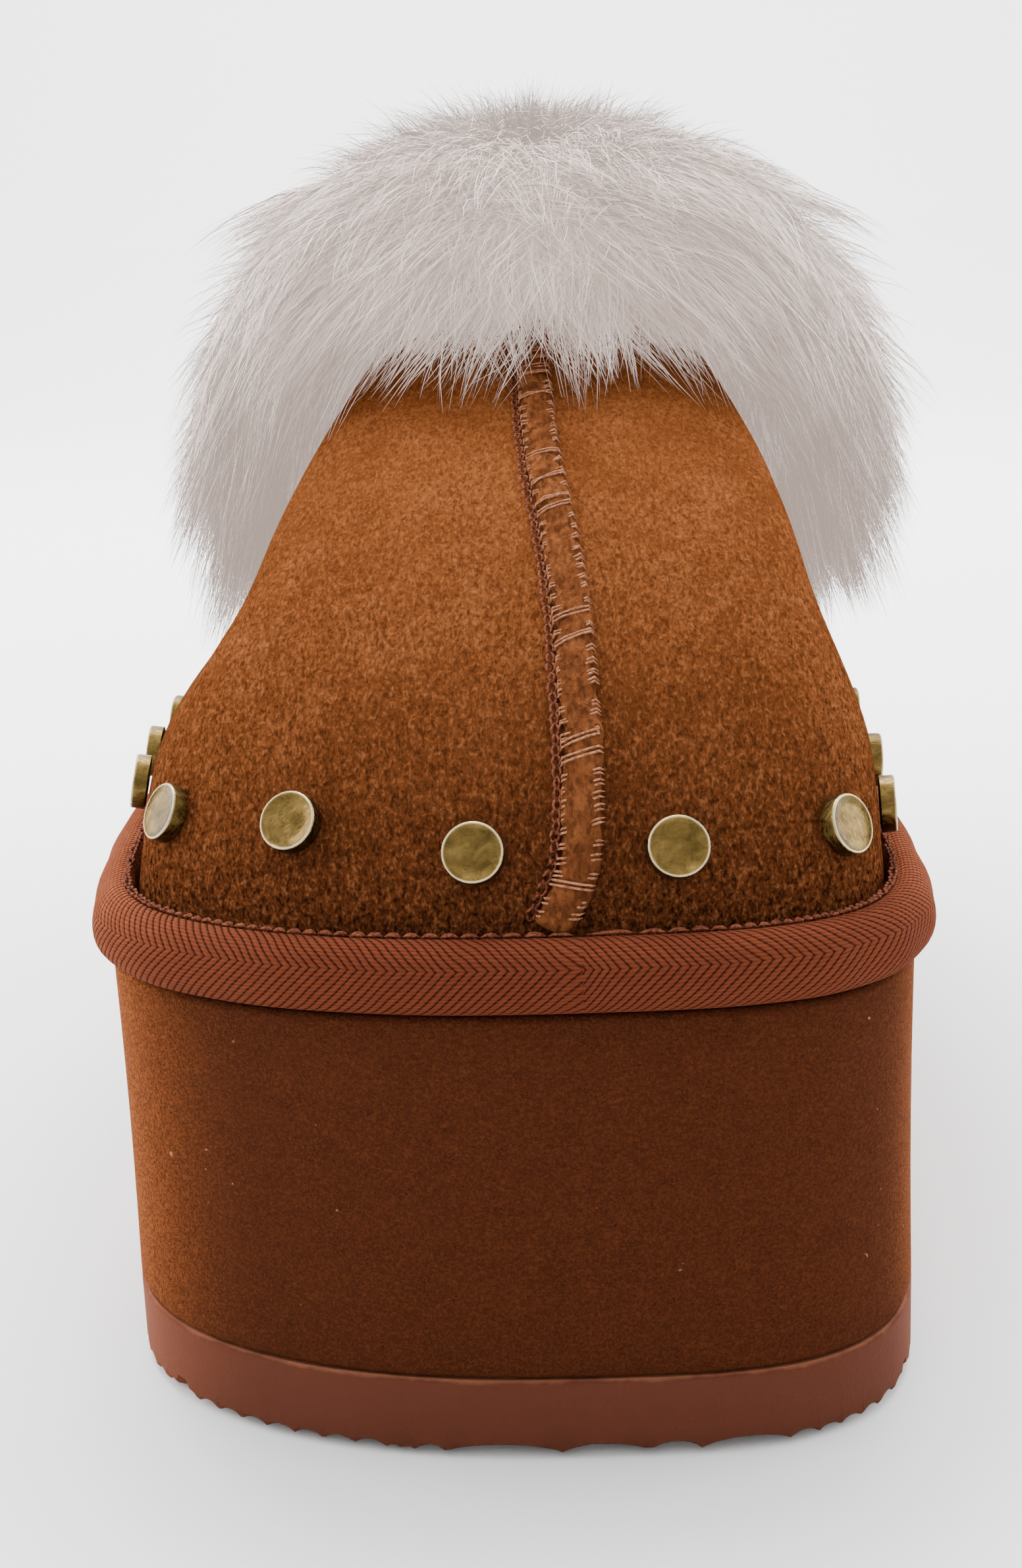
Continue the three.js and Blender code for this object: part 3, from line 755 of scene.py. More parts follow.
# Painted shade in the pores.
paint(tree, shader, veil(tree, pores["Holes"], 0.5, base, (0.06, 0.018, 0.009)))
bump(tree, shader, pores["Height"], 0.35, 0.4 * MM)

EDGE_STATIONS = 1200
# Points of the lower edge, in millimetres round the edge from the toe tip to the inner side
TREAD_POINTS = [-24.5, -22.4, -20.7, -17, -2.6, 8.1, 13.9, 24.7, 28.4, 31.6, 35, 38.5]
TREAD_PITCH, ARCH_SHARE, ARCH_LIMIT = 3.9, 0.22, 1.1 * MM


def scallop():
    """Height of the arches between the tread's points, round the lower edge."""
    ring = platform_ring(EDGE_STATIONS, 0.0, 0.0)
    run = np.cumsum(np.linalg.norm(np.diff(ring, axis=0, append=ring[:1]), axis=1)) / MM
    whole = run[-1]
    count = round((whole - TREAD_POINTS[-1] + TREAD_POINTS[0]) / TREAD_PITCH)
    more = np.linspace(TREAD_POINTS[-1], whole + TREAD_POINTS[0], count + 1)[1:-1]
    more = more + 0.5 * np.sin(more * 1.7)
    points = np.sort(np.concatenate([np.mod(TREAD_POINTS, whole), more]))
    points = np.concatenate([[points[-1] - whole], points, [points[0] + whole]])
    k = np.clip(np.searchsorted(points, run, side="right") - 1, 0, len(points) - 2)
    gap = points[k + 1] - points[k]
    t = (run - points[k]) / gap
    height = np.minimum(gap * MM * ARCH_SHARE, ARCH_LIMIT)
    return height * np.clip(1 - (2 * t - 1) ** 2, 0, 1) ** 0.7


def rocker(y):
    return 0.5 * MM * np.maximum(1 - y / (0.16 * LENGTH), 0) ** 2


arch = scallop()
OUTSOLE_EDGE = [
    # inset, share of the arches' height, height, whether that height is measured from the floor
    (6 * MM, 0.0, 0.0, False),
    (5 * MM, 0.0, 0.0, False),
    (3 * MM, 0.9, 0.0, False),
    (0.45 * MM, 1.0, 0.0, False),
    (0.0, 0.9, 0.6 * MM, False),
    (0.0, 0.0, 5 * MM, True),
    (0.0, 0.0, OUTSOLE - 0.4 * MM, True),
    (0.4 * MM, 0.0, OUTSOLE, True),
]
outsole_rings = []
for inset, share, level, from_floor in OUTSOLE_EDGE:
    height = level if from_floor else lambda y, s=share, l=level: rocker(y) + arch * s + l
    outsole_rings.append(platform_ring(EDGE_STATIONS, inset, height))
outsole = loft("rubber_outsole", outsole_rings, caps=(True, True))
GROOVE_PITCH, GROOVE_WIDTH, GROOVE_DEPTH, GROOVE_SWEEP = 12 * MM, 3.6 * MM, 2.4 * MM, 9 * MM
groove_count = int((LENGTH - 2 * GROOVE_SWEEP) / GROOVE_PITCH)
first_groove = (LENGTH - (groove_count - 1) * GROOVE_PITCH + GROOVE_SWEEP) / 2
bars = []
for i in range(groove_count):
    y = first_groove + i * GROOVE_PITCH
    roof = rocker(y) + GROOVE_DEPTH
    rings = []
    for x, ahead in ((-BALL_WIDTH, 0), (0, GROOVE_SWEEP), (BALL_WIDTH, 0)):
        narrow, wide = GROOVE_WIDTH / 2 - 0.5 * GROOVE_DEPTH, GROOVE_WIDTH / 2 + 0.5 * GROOVE_DEPTH
        corners = ((-wide, -2), (wide, -2), (narrow, 0), (-narrow, 0))
        rings.append(np.array([[x, y - ahead + a, roof + b * GROOVE_DEPTH] for a, b in corners]))
    bars.append(loft(f"groove_bar_{i}", rings, caps=(True, True)))
choose(*bars)
bpy.ops.object.join()
cutter = bpy.context.object
apply_modifier(outsole, "BOOLEAN", operation="DIFFERENCE", object=cutter, solver="EXACT")
bpy.data.objects.remove(cutter)
choose(outsole)
bpy.ops.object.shade_smooth_by_angle(angle=math.radians(40))
finish_piece(outsole, rubber, "outsole_rubber", "outsole")

# %% [markdown]
# The binding is a woven tape folded over a cord of foam. Its weave is a herringbone: slanted ribs
# that meet in a point along the tape's middle, each rib made of small yarn floats. The pattern is
# drawn on the UV map in centimetres, as waves that run up one half of the tape and down the other.

# %% Woven binding
tape, tree, shader = new_material("BindingTape", 0.95, Specular_IOR_Level=0.03)
shader.inputs["Sheen Tint"].default_value = (1.0, 0.6, 0.42, 1)
parts = add_node(tree, "ShaderNodeSeparateXYZ", {0: uv_coordinates(tree)})
round_tape, across_tape = parts.outputs["X"], parts.outputs["Y"]
FLOAT_LENGTH, ROW_HEIGHT, SLANT, CHANGE_ROW = 0.108, 0.046, 0.4, 21.0
wobble = noise(tree, uv_coordinates(tree), 1.3, 2.0)
swayed_across = math_node(tree, "MULTIPLY_ADD", wobble, 0.05, across_tape)
swayed_round = math_node(tree, "MULTIPLY_ADD", wobble, 0.12, round_tape)
rows = math_node(tree, "DIVIDE", swayed_across, ROW_HEIGHT)
row = math_node(tree, "FLOOR", rows)
zigzag = math_node(tree, "ABSOLUTE", math_node(tree, "SUBTRACT", rows, CHANGE_ROW))
floats = math_node(tree, "DIVIDE", swayed_round, FLOAT_LENGTH)
floats = math_node(tree, "MULTIPLY_ADD", zigzag, SLANT, floats)
one_float = math_node(tree, "FLOOR", floats)
in_float = math_node(tree, "MULTIPLY_ADD", math_node(tree, "FRACT", floats), 2.0, -1.0)
in_row = math_node(tree, "MULTIPLY_ADD", math_node(tree, "FRACT", rows), 2.0, -1.0)
long_side = math_node(tree, "POWER", math_node(tree, "ABSOLUTE", in_float), 2.6)
short_side = math_node(tree, "POWER", math_node(tree, "ABSOLUTE", in_row), 3.0)
rib = math_node(tree, "SUBTRACT", 1.0, long_side)
pill = math_node(tree, "MULTIPLY_ADD", short_side, -0.38, rib)
fuzz = noise(tree, object_coordinates(tree), 3600.0, 3.0, 0.7)
weave = math_node(tree, "MULTIPLY_ADD", fuzz, 0.3, pill)
yarn_cell = add_node(tree, "ShaderNodeCombineXYZ", {0: one_float, 1: row}).outputs[0]
each = add_node(tree, "ShaderNodeTexWhiteNoise", {"Vector": yarn_cell}).outputs["Value"]
slow = noise(tree, object_coordinates(tree), 38.0, 3.0)
yarn = ramp(tree, slow, [(0.3, (0.22, 0.054, 0.02)), (0.7, (0.29, 0.078, 0.031))])
# Painted shade over the front of the toe.
yarn = paint_toe_shade(tree, object_coordinates(tree), yarn, 0.68, (0.08, 0.018, 0.009))
yarn = veil(tree, each, 0.35, yarn, (0.12, 0.028, 0.013))
shade = map_range(tree, weave, 0.1, 0.8)
paint(tree, shader, mix_color(tree, shade, (0.025, 0.006, 0.004, 1), yarn))
bump(tree, shader, weave, 1.0, 0.35 * MM)

ROLL_SECTION = [
    # share of the ledge, share of the bulge, share of the height
    (0.9, 0, 0.0),
    (0.4, 0, 0.0),
    (0.0, 0.2, 0.01),
    (0.0, 0.62, 0.1),
    (0.0, 0.9, 0.24),
    (0.0, 1.0, 0.44),
    (0.0, 0.9, 0.64),
    (0.0, 0.6, 0.83),
    (0.0, 0.15, 0.95),
    (0.25, 0, 1.0),
    (0.6, 0, 1.0),
    (0.88, 0, 0.93),
    (0.98, 0, 0.75),
    (0.98, 0, 0.3),
]
ROLL_STATIONS = 300
roll_turns = np.arange(ROLL_STATIONS) / ROLL_STATIONS
lumps = 0.16 * MM * np.sin(roll_turns * 2 * np.pi * 37) + 0.22 * MM * np.sin(
    roll_turns * 2 * np.pi * 11 + 1.3
)
roll_rings = []
for ledge, bulge, height in ROLL_SECTION:
    inset = ledge * (LEDGE - GAP) - bulge * (ROLL_BULGE + lumps)
    lift = GAP + height * ROLL_HEIGHT
    roll_rings.append(platform_ring(ROLL_STATIONS, inset, lambda y, l=lift: shelf(y) + l))
binding = loft("woven_binding", roll_rings, looped=True)
apply_modifier(binding, "SUBSURF", levels=1, render_levels=1)
finish_piece(binding, tape, "binding_tape", "binding")

# %% [markdown]
# The footbed inside is short fleece on a dished pad, and the same fleece lines the suede. Little
# of it shows past the roll, so its pile is drawn by the nap group on smooth sheets. It takes the
# same off-white as the collar.

# %% Insole and lining
pile, tree, shader = new_material("FootbedPile", 0.95, Sheen_Weight=0.5)
place = object_coordinates(tree)
nap = use_group(tree, nap_group, place, Scale=620.0)
# Painted shade in the pits between the fibres.
soft = mix_color(tree, nap["Pits"], (0.42, 0.36, 0.32, 1), (0.82, 0.76, 0.71, 1))
paint(tree, shader, soft)
bump(tree, shader, nap["Height"], 1.0, 3 * MM)

INSOLE, INSOLE_CLEARANCE = 5 * MM, 1.2 * MM
INSOLE_INSET = LEDGE + WALL + INSOLE_CLEARANCE
bed_rings = [
    platform_ring(120, INSOLE_INSET + inset * MM, lambda y, u=up_by: platform_top(y) + u)
    for inset, up_by in (
        (0.6, GAP),
        (0.1, 0.25 * INSOLE),
        (0.0, 0.5 * INSOLE),
        (0.4, 0.85 * INSOLE),
        (1.8, INSOLE),
        (5.0, 0.96 * INSOLE),
        (9.0, 0.85 * INSOLE),
        (14.0, 0.82 * INSOLE),
    )
]
insole = loft("fleece_footbed", bed_rings, caps=(True, True))
finish_piece(insole, pile, "fleece", "insole")

LINING_STATIONS, LINING_THICKNESS = 120, 0.5 * MM
lining_turns = np.arange(LINING_STATIONS) / LINING_STATIONS
lining_rings = []
for share in np.linspace(0.06, 0.97, 16):
    shares = np.full(LINING_STATIONS, share)
    inwards = upper_normal(lining_turns, shares) * (WALL + GAP)
    lining_rings.append(upper_point(lining_turns, shares) - inwards)
lining = loft("fleece_lining", lining_rings)
apply_modifier(
    lining, "SOLIDIFY", thickness=LINING_THICKNESS, offset=-1, use_even_offset=False
)
finish_piece(lining, pile, "fleece")


# %% [markdown]
# The rivets are turned brass heads with an antique finish: dark in the hollows, worn bright on
# the rim. One head is drawn as a profile and spun round its axis, then copied to each place. The
# axis of each solid rivet is read from its own mesh, as the direction in which it is thinnest.

# %% Rivets
brass, tree, shader = new_material("AntiqueBrass", 0.34, Metallic=1.0)
place = object_coordinates(tree)
blotch = noise(tree, place, 420.0, 5.0, 0.65, 0.8)
BRASS_TONES = [
    (0.28, (0.05, 0.031, 0.009)),
    (0.5, (0.105, 0.067, 0.018)),
    (0.72, (0.17, 0.112, 0.034)),
]
base = ramp(tree, blotch, BRASS_TONES)
paint(tree, shader, mix_color(tree, attribute(tree, "rim"), base, (0.5, 0.4, 0.22, 1)))
scratch = add_node(tree, "ShaderNodeMapping", {"Vector": place, "Scale": (900, 4200, 1300)})
scratches = noise(tree, scratch.outputs[0], 1.0, 3.0, 0.6)
rough = map_range(tree, scratches, 0.35, 0.7, 0.2, 0.5)
tree.links.new(rough, shader.inputs["Roughness"])
bump(tree, shader, scratches, 0.25, 0.2 * MM)

STUD_RADIUS, STUD_HEIGHT = 3.6 * MM, 2 * MM
STUD_PROFILE = [
    # distance from the axis as a share of the radius, height as a share, brightness of the wear
    (0.0, 0.0, 0.0),
    (0.9, 0.0, 0.0),
    (1.0, 0.06, 0.0),
    (1.0, 0.84, 0.0),
    (0.99, 0.93, 0.5),
    (0.965, 0.985, 1.0),
    (0.94, 1.0, 1.0),
    (0.92, 0.985, 0.3),
    (0.9, 0.94, 0.0),
    (0.6, 0.92, 0.0),
    (0.0, 0.92, 0.0),
]


def turned_stud(name):
    """Spins the profile round Z with the spin operator."""
    choose()
    bpy.ops.mesh.primitive_circle_add(vertices=3, radius=0.001)
    stud = bpy.context.object
    stud.name = name
    bpy.ops.object.mode_set(mode="EDIT")
    mesh = bmesh.from_edit_mesh(stud.data)
    bmesh.ops.delete(mesh, geom=list(mesh.verts), context="VERTS")
    last = None
    for radius, height, _ in STUD_PROFILE:
        point = mesh.verts.new((radius * STUD_RADIUS, 0, height * STUD_HEIGHT))
        point.select = True
        if last:
            mesh.edges.new((last, point)).select = True
        last = point
    bmesh.update_edit_mesh(stud.data)
    bpy.ops.mesh.select_all(action="SELECT")
    bpy.ops.mesh.spin(steps=36, angle=2 * math.pi, center=(0, 0, 0), axis=(0, 0, 1))
    bpy.ops.mesh.select_all(action="SELECT")
    bpy.ops.mesh.remove_doubles(threshold=0.00001)
    bpy.ops.mesh.normals_make_consistent(inside=False)
    bpy.ops.object.mode_set(mode="OBJECT")
    bpy.ops.object.shade_smooth_by_angle(angle=math.radians(50))
    return stud


pattern_stud = turned_stud("rivet_pattern")
rim = pattern_stud.data.attributes.new("rim", "FLOAT", "POINT")
points = np.array([v.co for v in pattern_stud.data.vertices])
profile = np.array(STUD_PROFILE) * [STUD_RADIUS, STUD_HEIGHT, 1]
reach = np.hypot(points[:, 0], points[:, 1])
nearest = np.hypot(reach[:, None] - profile[:, 0], points[:, 2:] - profile[:, 1]).argmin(1)
rim.data.foreach_set("value", profile[nearest, 2])
stud_names = [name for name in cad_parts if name.startswith("stud_")]
STUDS_MIDDLE = np.array([0, 0, 75 * MM])
SIDE_REACH = 80 * MM
for name in stud_names:
    solid = np.array([v.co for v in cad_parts[name].data.vertices])
    centre = (solid.max(0) + solid.min(0)) / 2
    spread = np.linalg.svd(solid - solid.mean(0), full_matrices=False)[2]
    axis = spread[2]
    outward = centre - STUDS_MIDDLE
    outward[1] *= 0.2 if abs(centre[1]) < SIDE_REACH else 1.0
    axis = axis if axis @ outward > 0 else -axis
    base_point = centre - axis * ((solid - centre) @ axis).max()
    stud = pattern_stud.copy()
    stud.data = pattern_stud.data.copy()
    bpy.context.collection.objects.link(stud)
    stud.name = name.replace("stud", "rivet")
    turn_to = Vector((0, 0, 1)).rotation_difference(Vector(axis)).to_matrix().to_4x4()
    stud.data.transform(Matrix.Translation(Vector(base_point)) @ turn_to)
    finish_piece(stud, brass, "rivet_brass", name)
bpy.data.objects.remove(pattern_stud)
print("rivets:", len(stud_names))

# %% [markdown]
# The centre seam joins the two halves of the vamp. Their edges stand up together and are wrapped
# with thread, which rubs the suede into a fuzzy ridge. The ridge is a strip extruded along the
# seam, rounded by subdivision. The thread is modelled too: slanted wraps over the ridge and a
# chain of small loops along its outer edge, each one a short bent tube.

# %% Seam ridge
seam_suede, tree, shader = new_material("SeamSuede", 1.0, Specular_IOR_Level=0.0)
place = object_coordinates(tree)
nap = use_group(tree, nap_group, place, Scale=1900.0)
tones = noise(tree, place, 300.0, 4.0, 0.6)
base = ramp(tree, tones, [(0.3, (0.13, 0.04, 0.013)), (0.7, (0.26, 0.088, 0.029))])
# Painted shade in the pits between the fibres.
paint(tree, shader, mix_color(tree, nap["Pits"], (0.08, 0.026, 0.01, 1), base))
bump(tree, shader, nap["Height"], 1.0, 1.4 * MM)

seam_foot = float(share_at_rise(np.array([0.0]), ROLL_HEIGHT - LEDGE_DROP + GAP)[0])
SEAM_STEPS = 110
seam_shares = np.linspace(seam_foot, 0.985, SEAM_STEPS)
# How far the seam strays to the inner side, in millimetres, from the binding to the throat
SEAM_DRIFT = {
    "along": [0.05, 0.08, 0.11, 0.16, 0.27, 0.45, 0.68, 1],
    "drift": [-2.6, -1.0, 0.4, 1.4, 1.8, 1.4, -0.9, -1.2],
}


def seam_middle(shares):
    point = upper_point(np.zeros(len(shares)), shares)
    point[:, 0] += table_value(SEAM_DRIFT, "drift", shares) * MM
    return point


def seam_frame(shares):
    """Points of the seam, with the directions to the outer side, off the suede and along it."""
    off = upper_normal(np.zeros(len(shares)), shares)
    run = seam_middle(shares + 0.008) - seam_middle(shares - 0.008)
    run /= np.linalg.norm(run, axis=-1, keepdims=True)
    side = np.cross(off, run)
    side /= np.linalg.norm(side, axis=-1, keepdims=True)
    return seam_middle(shares), side, off, run


middle, side, off, run = seam_frame(seam_shares)
sway = 0.3 * MM * np.sin(seam_shares * 43)
SEAM_SECTION = [
    # across, as a share of half the width, and out, as a share of the height
    (-1, -0.5),
    (1, -0.5),
    (1, 0.3),
    (0.8, 0.85),
    (0.3, 1.05),
    (-0.4, 1),
    (-0.9, 0.7),
    (-1, 0.25),
]
seam_rings = []
for i in range(SEAM_STEPS):
    ring = []
    for across, out in SEAM_SECTION:
        ripple = 1 + 0.07 * math.sin(i * 1.9 + across)
        ring.append(
            middle[i]
            + side[i] * (across * SEAM_WIDTH / 2 * ripple + sway[i])
            + off[i] * (out * SEAM_HEIGHT * ripple)
        )
    seam_rings.append(np.array(ring))
ridge = loft("seam_ridge", seam_rings, caps=(True, True))
apply_modifier(ridge, "SUBSURF", levels=1, render_levels=1)
finish_piece(ridge, seam_suede, "suede")


# %% Thread tubes
def tubes(name, paths, radius, sides=6):
    """One mesh of many short tubes, each along its own row of points, with closed ends."""
    paths = np.asarray(paths) + ORIGIN
    count, steps, _ = paths.shape
    run = np.gradient(paths, axis=1)
    run /= np.linalg.norm(run, axis=-1, keepdims=True)
    helper = np.where(np.abs(run[..., 2:]) < 0.9, [[[0, 0, 1.0]]], [[[1.0, 0, 0]]])
    one = np.cross(run, helper)
    one /= np.linalg.norm(one, axis=-1, keepdims=True)
    two = np.cross(run, one)
    angle = np.arange(sides) * 2 * np.pi / sides
    taper = np.interp(np.arange(steps), [0, 1, steps - 2, steps - 1], [0.35, 1, 1, 0.35])
    cosine, sine = np.cos(angle)[:, None], np.sin(angle)[:, None]
    round_it = one[:, :, None] * cosine + two[:, :, None] * sine
    points = paths[:, :, None] + round_it * (radius * taper)[None, :, None, None]
    grid = np.arange(count * steps * sides).reshape(count, steps, sides)
    next_side = np.roll(grid, -1, 2)
    corners = [grid[:, :-1], next_side[:, :-1], next_side[:, 1:], grid[:, 1:]]
    quads = np.stack(corners, -1).reshape(-1, 4)
    faces = quads.tolist() + grid[:, 0, ::-1].tolist() + grid[:, -1].tolist()
    data = bpy.data.meshes.new(name)
    data.from_pydata(points.reshape(-1, 3), [], faces)
    data.polygons.foreach_set("use_smooth", [True] * len(faces))
    print(name, "has", count, "threads")
    return link_mesh(name, data)


def new_thread(name, dark, light):
    material, tree, shader = new_material(name, 0.85, Specular_IOR_Level=0.1)
    ply = noise(tree, object_coordinates(tree), 2600.0, 2.0)
    paint(tree, shader, ramp(tree, ply, [(0.35, dark), (0.65, light)]))
    bump(tree, shader, ply, 0.7, 0.3 * MM)
    return material


pale_thread = new_thread("PaleThread", (0.2, 0.068, 0.03), (0.42, 0.19, 0.1))
dark_thread = new_thread("DarkThread", (0.07, 0.018, 0.01), (0.22, 0.065, 0.03))

rng = np.random.default_rng(7)
WRAP_PITCH, CHAIN_PITCH = 2.1 * MM, 1.7 * MM
seam_length = np.linalg.norm(np.diff(middle, axis=0), axis=1).sum()
WRAP_PATH = [
    # across to the outer side, off the suede, along the seam
    (1.1, 0.0, 0.0),
    (1.0, 0.75, 0.05),
    (0.5, 1.02, 0.25),
    (-0.35, 1.06, 0.6),
    (-0.85, 0.95, 0.85),
    (-1.08, 0.25, 1.0),
]
wraps = []
for share in np.linspace(seam_foot + 0.01, 0.97, int(seam_length / WRAP_PITCH)):
    share += rng.normal(0, 0.002)
    m, s, o, r = (value[0] for value in seam_frame(np.array([share])))
    slant = WRAP_PITCH * rng.uniform(0.4, 1.0)
    sunk = rng.choice([0.0, -0.3], p=[0.3, 0.7])
    for strand in (-1, 1):
        apart = strand * 0.26 * MM + rng.normal(0, 0.05) * MM
        wobble = rng.normal(0, 0.05, len(WRAP_PATH)) + sunk * np.array([0, 0.2, 1, 1, 0.3, 0])
        wraps.append(
            [
                m + s * (a * SEAM_WIDTH / 2) + o * ((b + w) * SEAM_HEIGHT) + r * (c * slant + apart)
                for (a, b, c), w in zip(WRAP_PATH, wobble)
            ]
        )
chains = []
for share in np.linspace(seam_foot, 0.975, int(seam_length / CHAIN_PITCH)):
    m, s, o, r = (value[0] for value in seam_frame(np.array([share])))
    for lean in (-1, 1):
        start = 1.3 + rng.normal(0, 0.03)
        chains.append(
            [
                m
                + s * ((start + lean * 0.2 * math.sin(math.pi * t)) * SEAM_WIDTH / 2)
                + o * (0.25 * MM * math.sin(math.pi * t) + 0.1 * MM)
                + r * (CHAIN_PITCH * 1.15 * t)
                for t in np.linspace(0, 1, 5)
            ]
        )
finish_piece(tubes("seam_wraps", wraps, 0.15 * MM), pale_thread, "suede")
finish_piece(tubes("seam_chain", chains, 0.18 * MM), dark_thread, "suede")

# %% Stitches along the top of the binding
edge_run = platform_ring(2000, LEDGE * 0.55, lambda y: shelf(y) + ROLL_HEIGHT + GAP)
edge_length = np.linalg.norm(np.diff(edge_run, axis=0), axis=1).sum()
STITCH_PITCH = 1.9 * MM
stitch_count = int(edge_length / STITCH_PITCH)
arc = np.sin(np.pi * np.linspace(0, 1, 5))
stitches = []
for k in range(stitch_count):
    starts = (k + 0.05 + 0.9 * np.linspace(0, 1, 5)) / stitch_count
    for lean in (-1, 1):
        inset = LEDGE * (0.72 + rng.normal(0, 0.03)) + lean * 0.3 * MM * arc
        plan = wall_point(starts, inset)
        z = shelf(plan[:, 1]) + GAP + ROLL_HEIGHT * 0.99 + 0.25 * MM * arc
        stitches.append(np.concatenate([plan, z[:, None]], 1))
finish_piece(tubes("binding_stitches", stitches, 0.2 * MM), dark_thread, "binding_tape")

# %% [markdown]
# Long fleece is thousands of fine fibres that lie in soft locks. The roll under them is a plain
# ring of soft foam, extruded round the collar's edge. The fibres are thin tapering ribbons, made
# as joined meshes from arrays: each one starts on the roll, leans the way its patch is combed,
# bends down under its weight and gathers towards the tip of its lock.

# %% Fleece roll
# Painted light: a faint glow from emission brightens the skin.
fur_base, tree, shader = new_material(
    "FleeceSkin", 1.0, Specular_IOR_Level=0.0, Emission_Strength=0.36
)
shader.inputs["Emission Color"].default_value = (1.0, 0.9, 0.85, 1)
place = object_coordinates(tree)
shadow = noise(tree, place, 160.0, 3.0)
soft = ramp(tree, shadow, [(0.3, (0.78, 0.69, 0.64)), (0.7, (0.88, 0.82, 0.78))])
paint(tree, shader, soft)
nap = use_group(tree, nap_group, place, Scale=500.0)
bump(tree, shader, nap["Height"], 0.8, 2 * MM)


def roll_point(turn, angle, grow):
    """Point of the fleece roll's skin, grown or shrunk by a length."""
    edge, rise, off = collar_frame(turn)
    along = along_of(turn)
    length = FLEECE_LENGTH * table_value(FLEECE_ROLL, "length", along)
    depth = FLEECE_DEPTH * table_value(FLEECE_ROLL, "depth", along)
    up_part = -0.12 * length + np.sin(angle) * (length + grow)
    out_part = 0.72 * depth + np.cos(angle) * (depth + grow)
    return edge + rise * up_part[..., None] + off * out_part[..., None]


ROLL_SIDES = 30
core_turns = np.arange(150) / 150
core_rings = [
    roll_point(core_turns, np.full(150, a), -2.4 * MM)
    for a in np.arange(ROLL_SIDES) * 2 * np.pi / ROLL_SIDES
]
core = loft("fleece_roll", core_rings, looped=True)
finish_piece(core, fur_base, "fleece", "fur_collar")

# %% Fleece fibres
# Painted light: a pinkish glow from emission brightens the fibres.
fleece, tree, shader = new_material(
    "FleeceFibre", 0.9, Specular_IOR_Level=0.05, Emission_Strength=0.56
)
shader.inputs["Emission Color"].default_value = (1.0, 0.77, 0.67, 1)
FLEECE_TONES = [
    (0.0, (0.85, 0.69, 0.6)),
    (0.5, (0.94, 0.82, 0.75)),
    (1.0, (0.98, 0.93, 0.89)),
]
pale = ramp(tree, attribute(tree, "tint"), FLEECE_TONES)
# Painted shade: the fibres darken towards their roots, deep in the coat.
paint(tree, shader, mix_color(tree, attribute(tree, "tip"), (0.6, 0.45, 0.37, 1), pale))
skin = attribute(tree, "skin", "Vector")
soft_normal = add_node(tree, "ShaderNodeVectorMath", {0: skin}, operation="NORMALIZE").outputs[0]
tree.links.new(soft_normal, shader.inputs["Normal"])


def unit(vectors):
    return vectors / np.linalg.norm(vectors, axis=-1, keepdims=True)


def ribbon_mesh(name, path, side, width):
    """Thin tapering ribbons along paths: quads up the stem and a triangle at the tip."""
    count, steps, _ = path.shape
    pairs = steps - 1
    reach = side[:, None] * (width * np.linspace(1.1, 0.5, pairs))[None, :, None] / 2
    stem = path[:, :-1]
    points = np.concatenate([stem - reach, stem + reach, path[:, -1:]], 1) + ORIGIN
    per = points.shape[1]
    start = (np.arange(count) * per)[:, None, None]
    corners = np.array([[k, k + pairs, k + pairs + 1, k + 1] for k in range(pairs - 1)])
    quads = (corners[None] + start).reshape(-1, 4)
    last_corners = np.array([[pairs - 1, 2 * pairs - 1, 2 * pairs]])
    tips = (last_corners[None] + start).reshape(-1, 3)
    data = bpy.data.meshes.new(name)
    data.vertices.add(count * per)
    data.vertices.foreach_set("co", points.ravel())
    data.loops.add(quads.size + tips.size)
    data.loops.foreach_set("vertex_index", np.concatenate([quads.ravel(), tips.ravel()]))
    data.polygons.add(len(quads) + len(tips))
    starts = (np.arange(len(quads)) * 4, quads.size + np.arange(len(tips)) * 3)
    data.polygons.foreach_set("loop_start", np.concatenate(starts))
    data.update(calc_edges=True)
    return data


ROOT_DEPTH, KINK, STRAY = 3.4 * MM, 0.55 * MM, 0.65 * MM


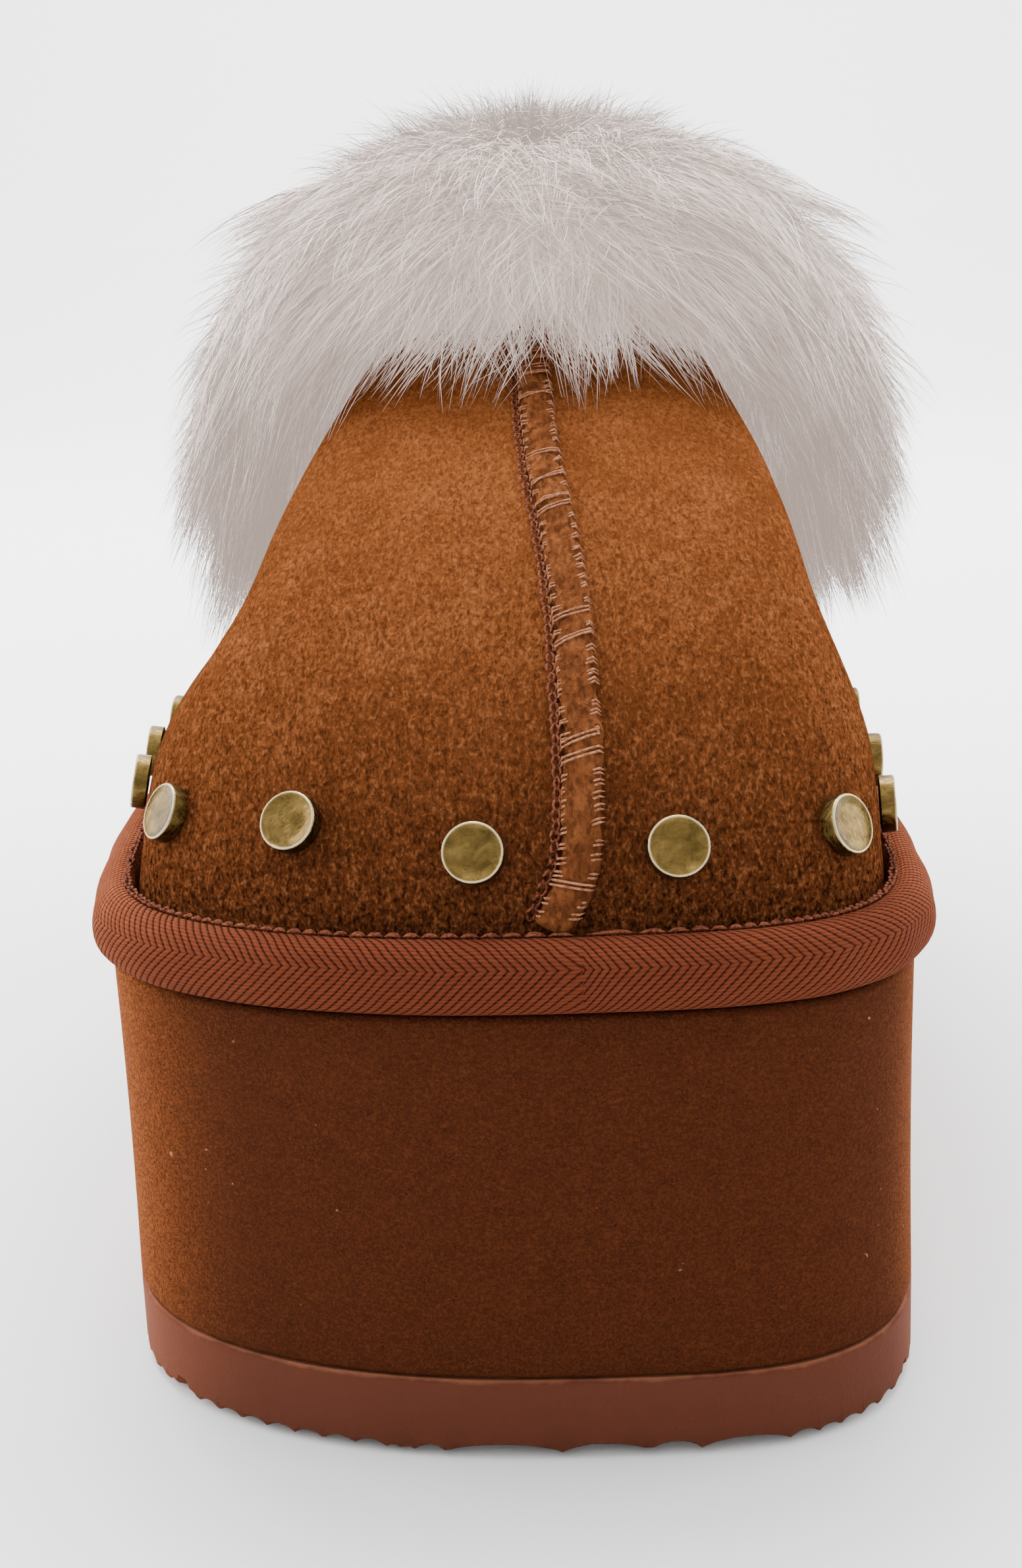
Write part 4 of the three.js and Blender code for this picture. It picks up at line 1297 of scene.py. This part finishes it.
def fur(name, count, locks, seed, length, lift, width, angles, gather, turns=(0, 1), steps=4):
    """Ribbons in locks: each lock has its own bent path, and its fibres close in on it."""
    rng = np.random.default_rng(seed)
    lock_turn = rng.uniform(*turns, locks)
    lock_angle = rng.uniform(*angles, locks)
    at = roll_point(lock_turn, lock_angle, -ROOT_DEPTH)
    normal = unit(roll_point(lock_turn, lock_angle, MM) - roll_point(lock_turn, lock_angle, -MM))
    tangent = unit(
        roll_point(lock_turn, lock_angle - 0.05, 0) - roll_point(lock_turn, lock_angle + 0.05, 0)
    )
    _, rise, _ = collar_frame(lock_turn)
    low = smoothstep(-lock_angle, -0.6, 0.5)[:, None]
    inside = smoothstep(lock_angle, 1.5, 2.4)[:, None]
    comb = tangent * (1 - low) - rise * low
    comb = comb * (1 - 1.6 * inside)
    across = np.cross(normal, comb)
    way = (lock_turn + 0.5) % 1 - 0.5
    flank = smoothstep(np.abs(way), 0.03, 0.1) * (1 - smoothstep(np.abs(way), 0.19, 0.27))
    flank = (flank * smoothstep(-lock_angle, -0.5, 0.6))[:, None]
    lean = comb + across * rng.normal(0, 0.36, (locks, 1)) + rng.normal(0, 0.1, (locks, 3))
    ahead = np.array([0, -1, -0.45]) + rise * 0.2
    lean = lean * (1 - 0.7 * flank) + ahead * flank
    lift = lift * (1 - 0.45 * smoothstep(lock_angle, 0.5, 1.5) - 0.4 * flank[:, 0])[:, None]
    first = unit(normal * lift + lean * 0.55)
    last = unit(normal * lift * 0.35 + lean + [0, 0, -0.3])
    size = rng.uniform(*length, locks) * (1 + 0.35 * flank[:, 0])
    t = np.linspace(0, 1, steps)
    lock_path = first[:, None] * (t - t**2 / 2)[:, None] + last[:, None] * (t**2 / 2)[:, None]
    lock_path = lock_path * (size * 1.25)[:, None, None]
    bend = unit(np.cross(first, rng.normal(0, 1, (locks, 3))))
    lock_path += bend[:, None] * (np.sin(t * 4.2) * KINK)[None, :, None]

    own = rng.integers(0, locks, count)
    turn = lock_turn[own] + rng.normal(0, 0.0085, count)
    angle = lock_angle[own] + rng.normal(0, 0.2, count)
    root = roll_point(turn, angle, -ROOT_DEPTH)
    scale = rng.uniform(0.6, 1.1, count)[:, None, None]
    path = root[:, None] + lock_path[own] * scale
    path += (at[own] - root)[:, None] * (gather * t**1.4)[None, :, None]
    path += rng.normal(0, 1, (count, 1, 3)) * (np.sin(t * 3) * KINK)[None, :, None]
    path += rng.normal(0, 1, (count, 1, 3)) * (t**2 * STRAY)[None, :, None]

    side = unit(np.cross(path[:, -1] - path[:, 0], rng.normal(0, 1, (count, 3))))
    data = ribbon_mesh(name, path, side, width)
    per = 2 * steps - 1
    tone = 0.6 * rng.random(locks)[own] + 0.4 * rng.random(count)
    soft = unit(normal[own] + rng.normal(0, 0.22, (count, 3)) + [0, 0, 0.25])
    for label, kind, values in (
        ("tip", "FLOAT", np.tile(np.concatenate([t[:-1], t[:-1], [1.0]]) ** 0.6, count)),
        ("tint", "FLOAT", np.repeat(tone, per)),
        ("skin", "FLOAT_VECTOR", np.repeat(soft, per, 0).ravel()),
    ):
        field = "vector" if kind == "FLOAT_VECTOR" else "value"
        data.attributes.new(label, kind, "POINT").data.foreach_set(field, values)
    finish_piece(link_mesh(name, data), fleece, "fleece")
    print(name, "has", count, "fibres in", locks, "locks")


OUTER, WHOLE = (-2.0, 2.2), (-math.pi, math.pi)
fur("fleece_under", 32000, 2600, 11, (6 * MM, 9 * MM), 0.65, 0.3 * MM, WHOLE, 0.1)
fur("fleece_coat_a", 36000, 1700, 12, (7 * MM, 12 * MM), 0.7, 0.21 * MM, OUTER, 0.2)
fur("fleece_coat_b", 36000, 1500, 13, (8 * MM, 13 * MM), 0.65, 0.18 * MM, OUTER, 0.35)
fur("fleece_coat_c", 26000, 2200, 15, (8 * MM, 14 * MM), 0.6, 0.16 * MM, OUTER, 0.15)
FRINGE, FRONT = (-2.1, 0.3), (-0.3, 0.3)
fur("fleece_fringe", 27000, 560, 14, (15 * MM, 21 * MM), 0.4, 0.19 * MM, FRINGE, 0.5, FRONT, 5)
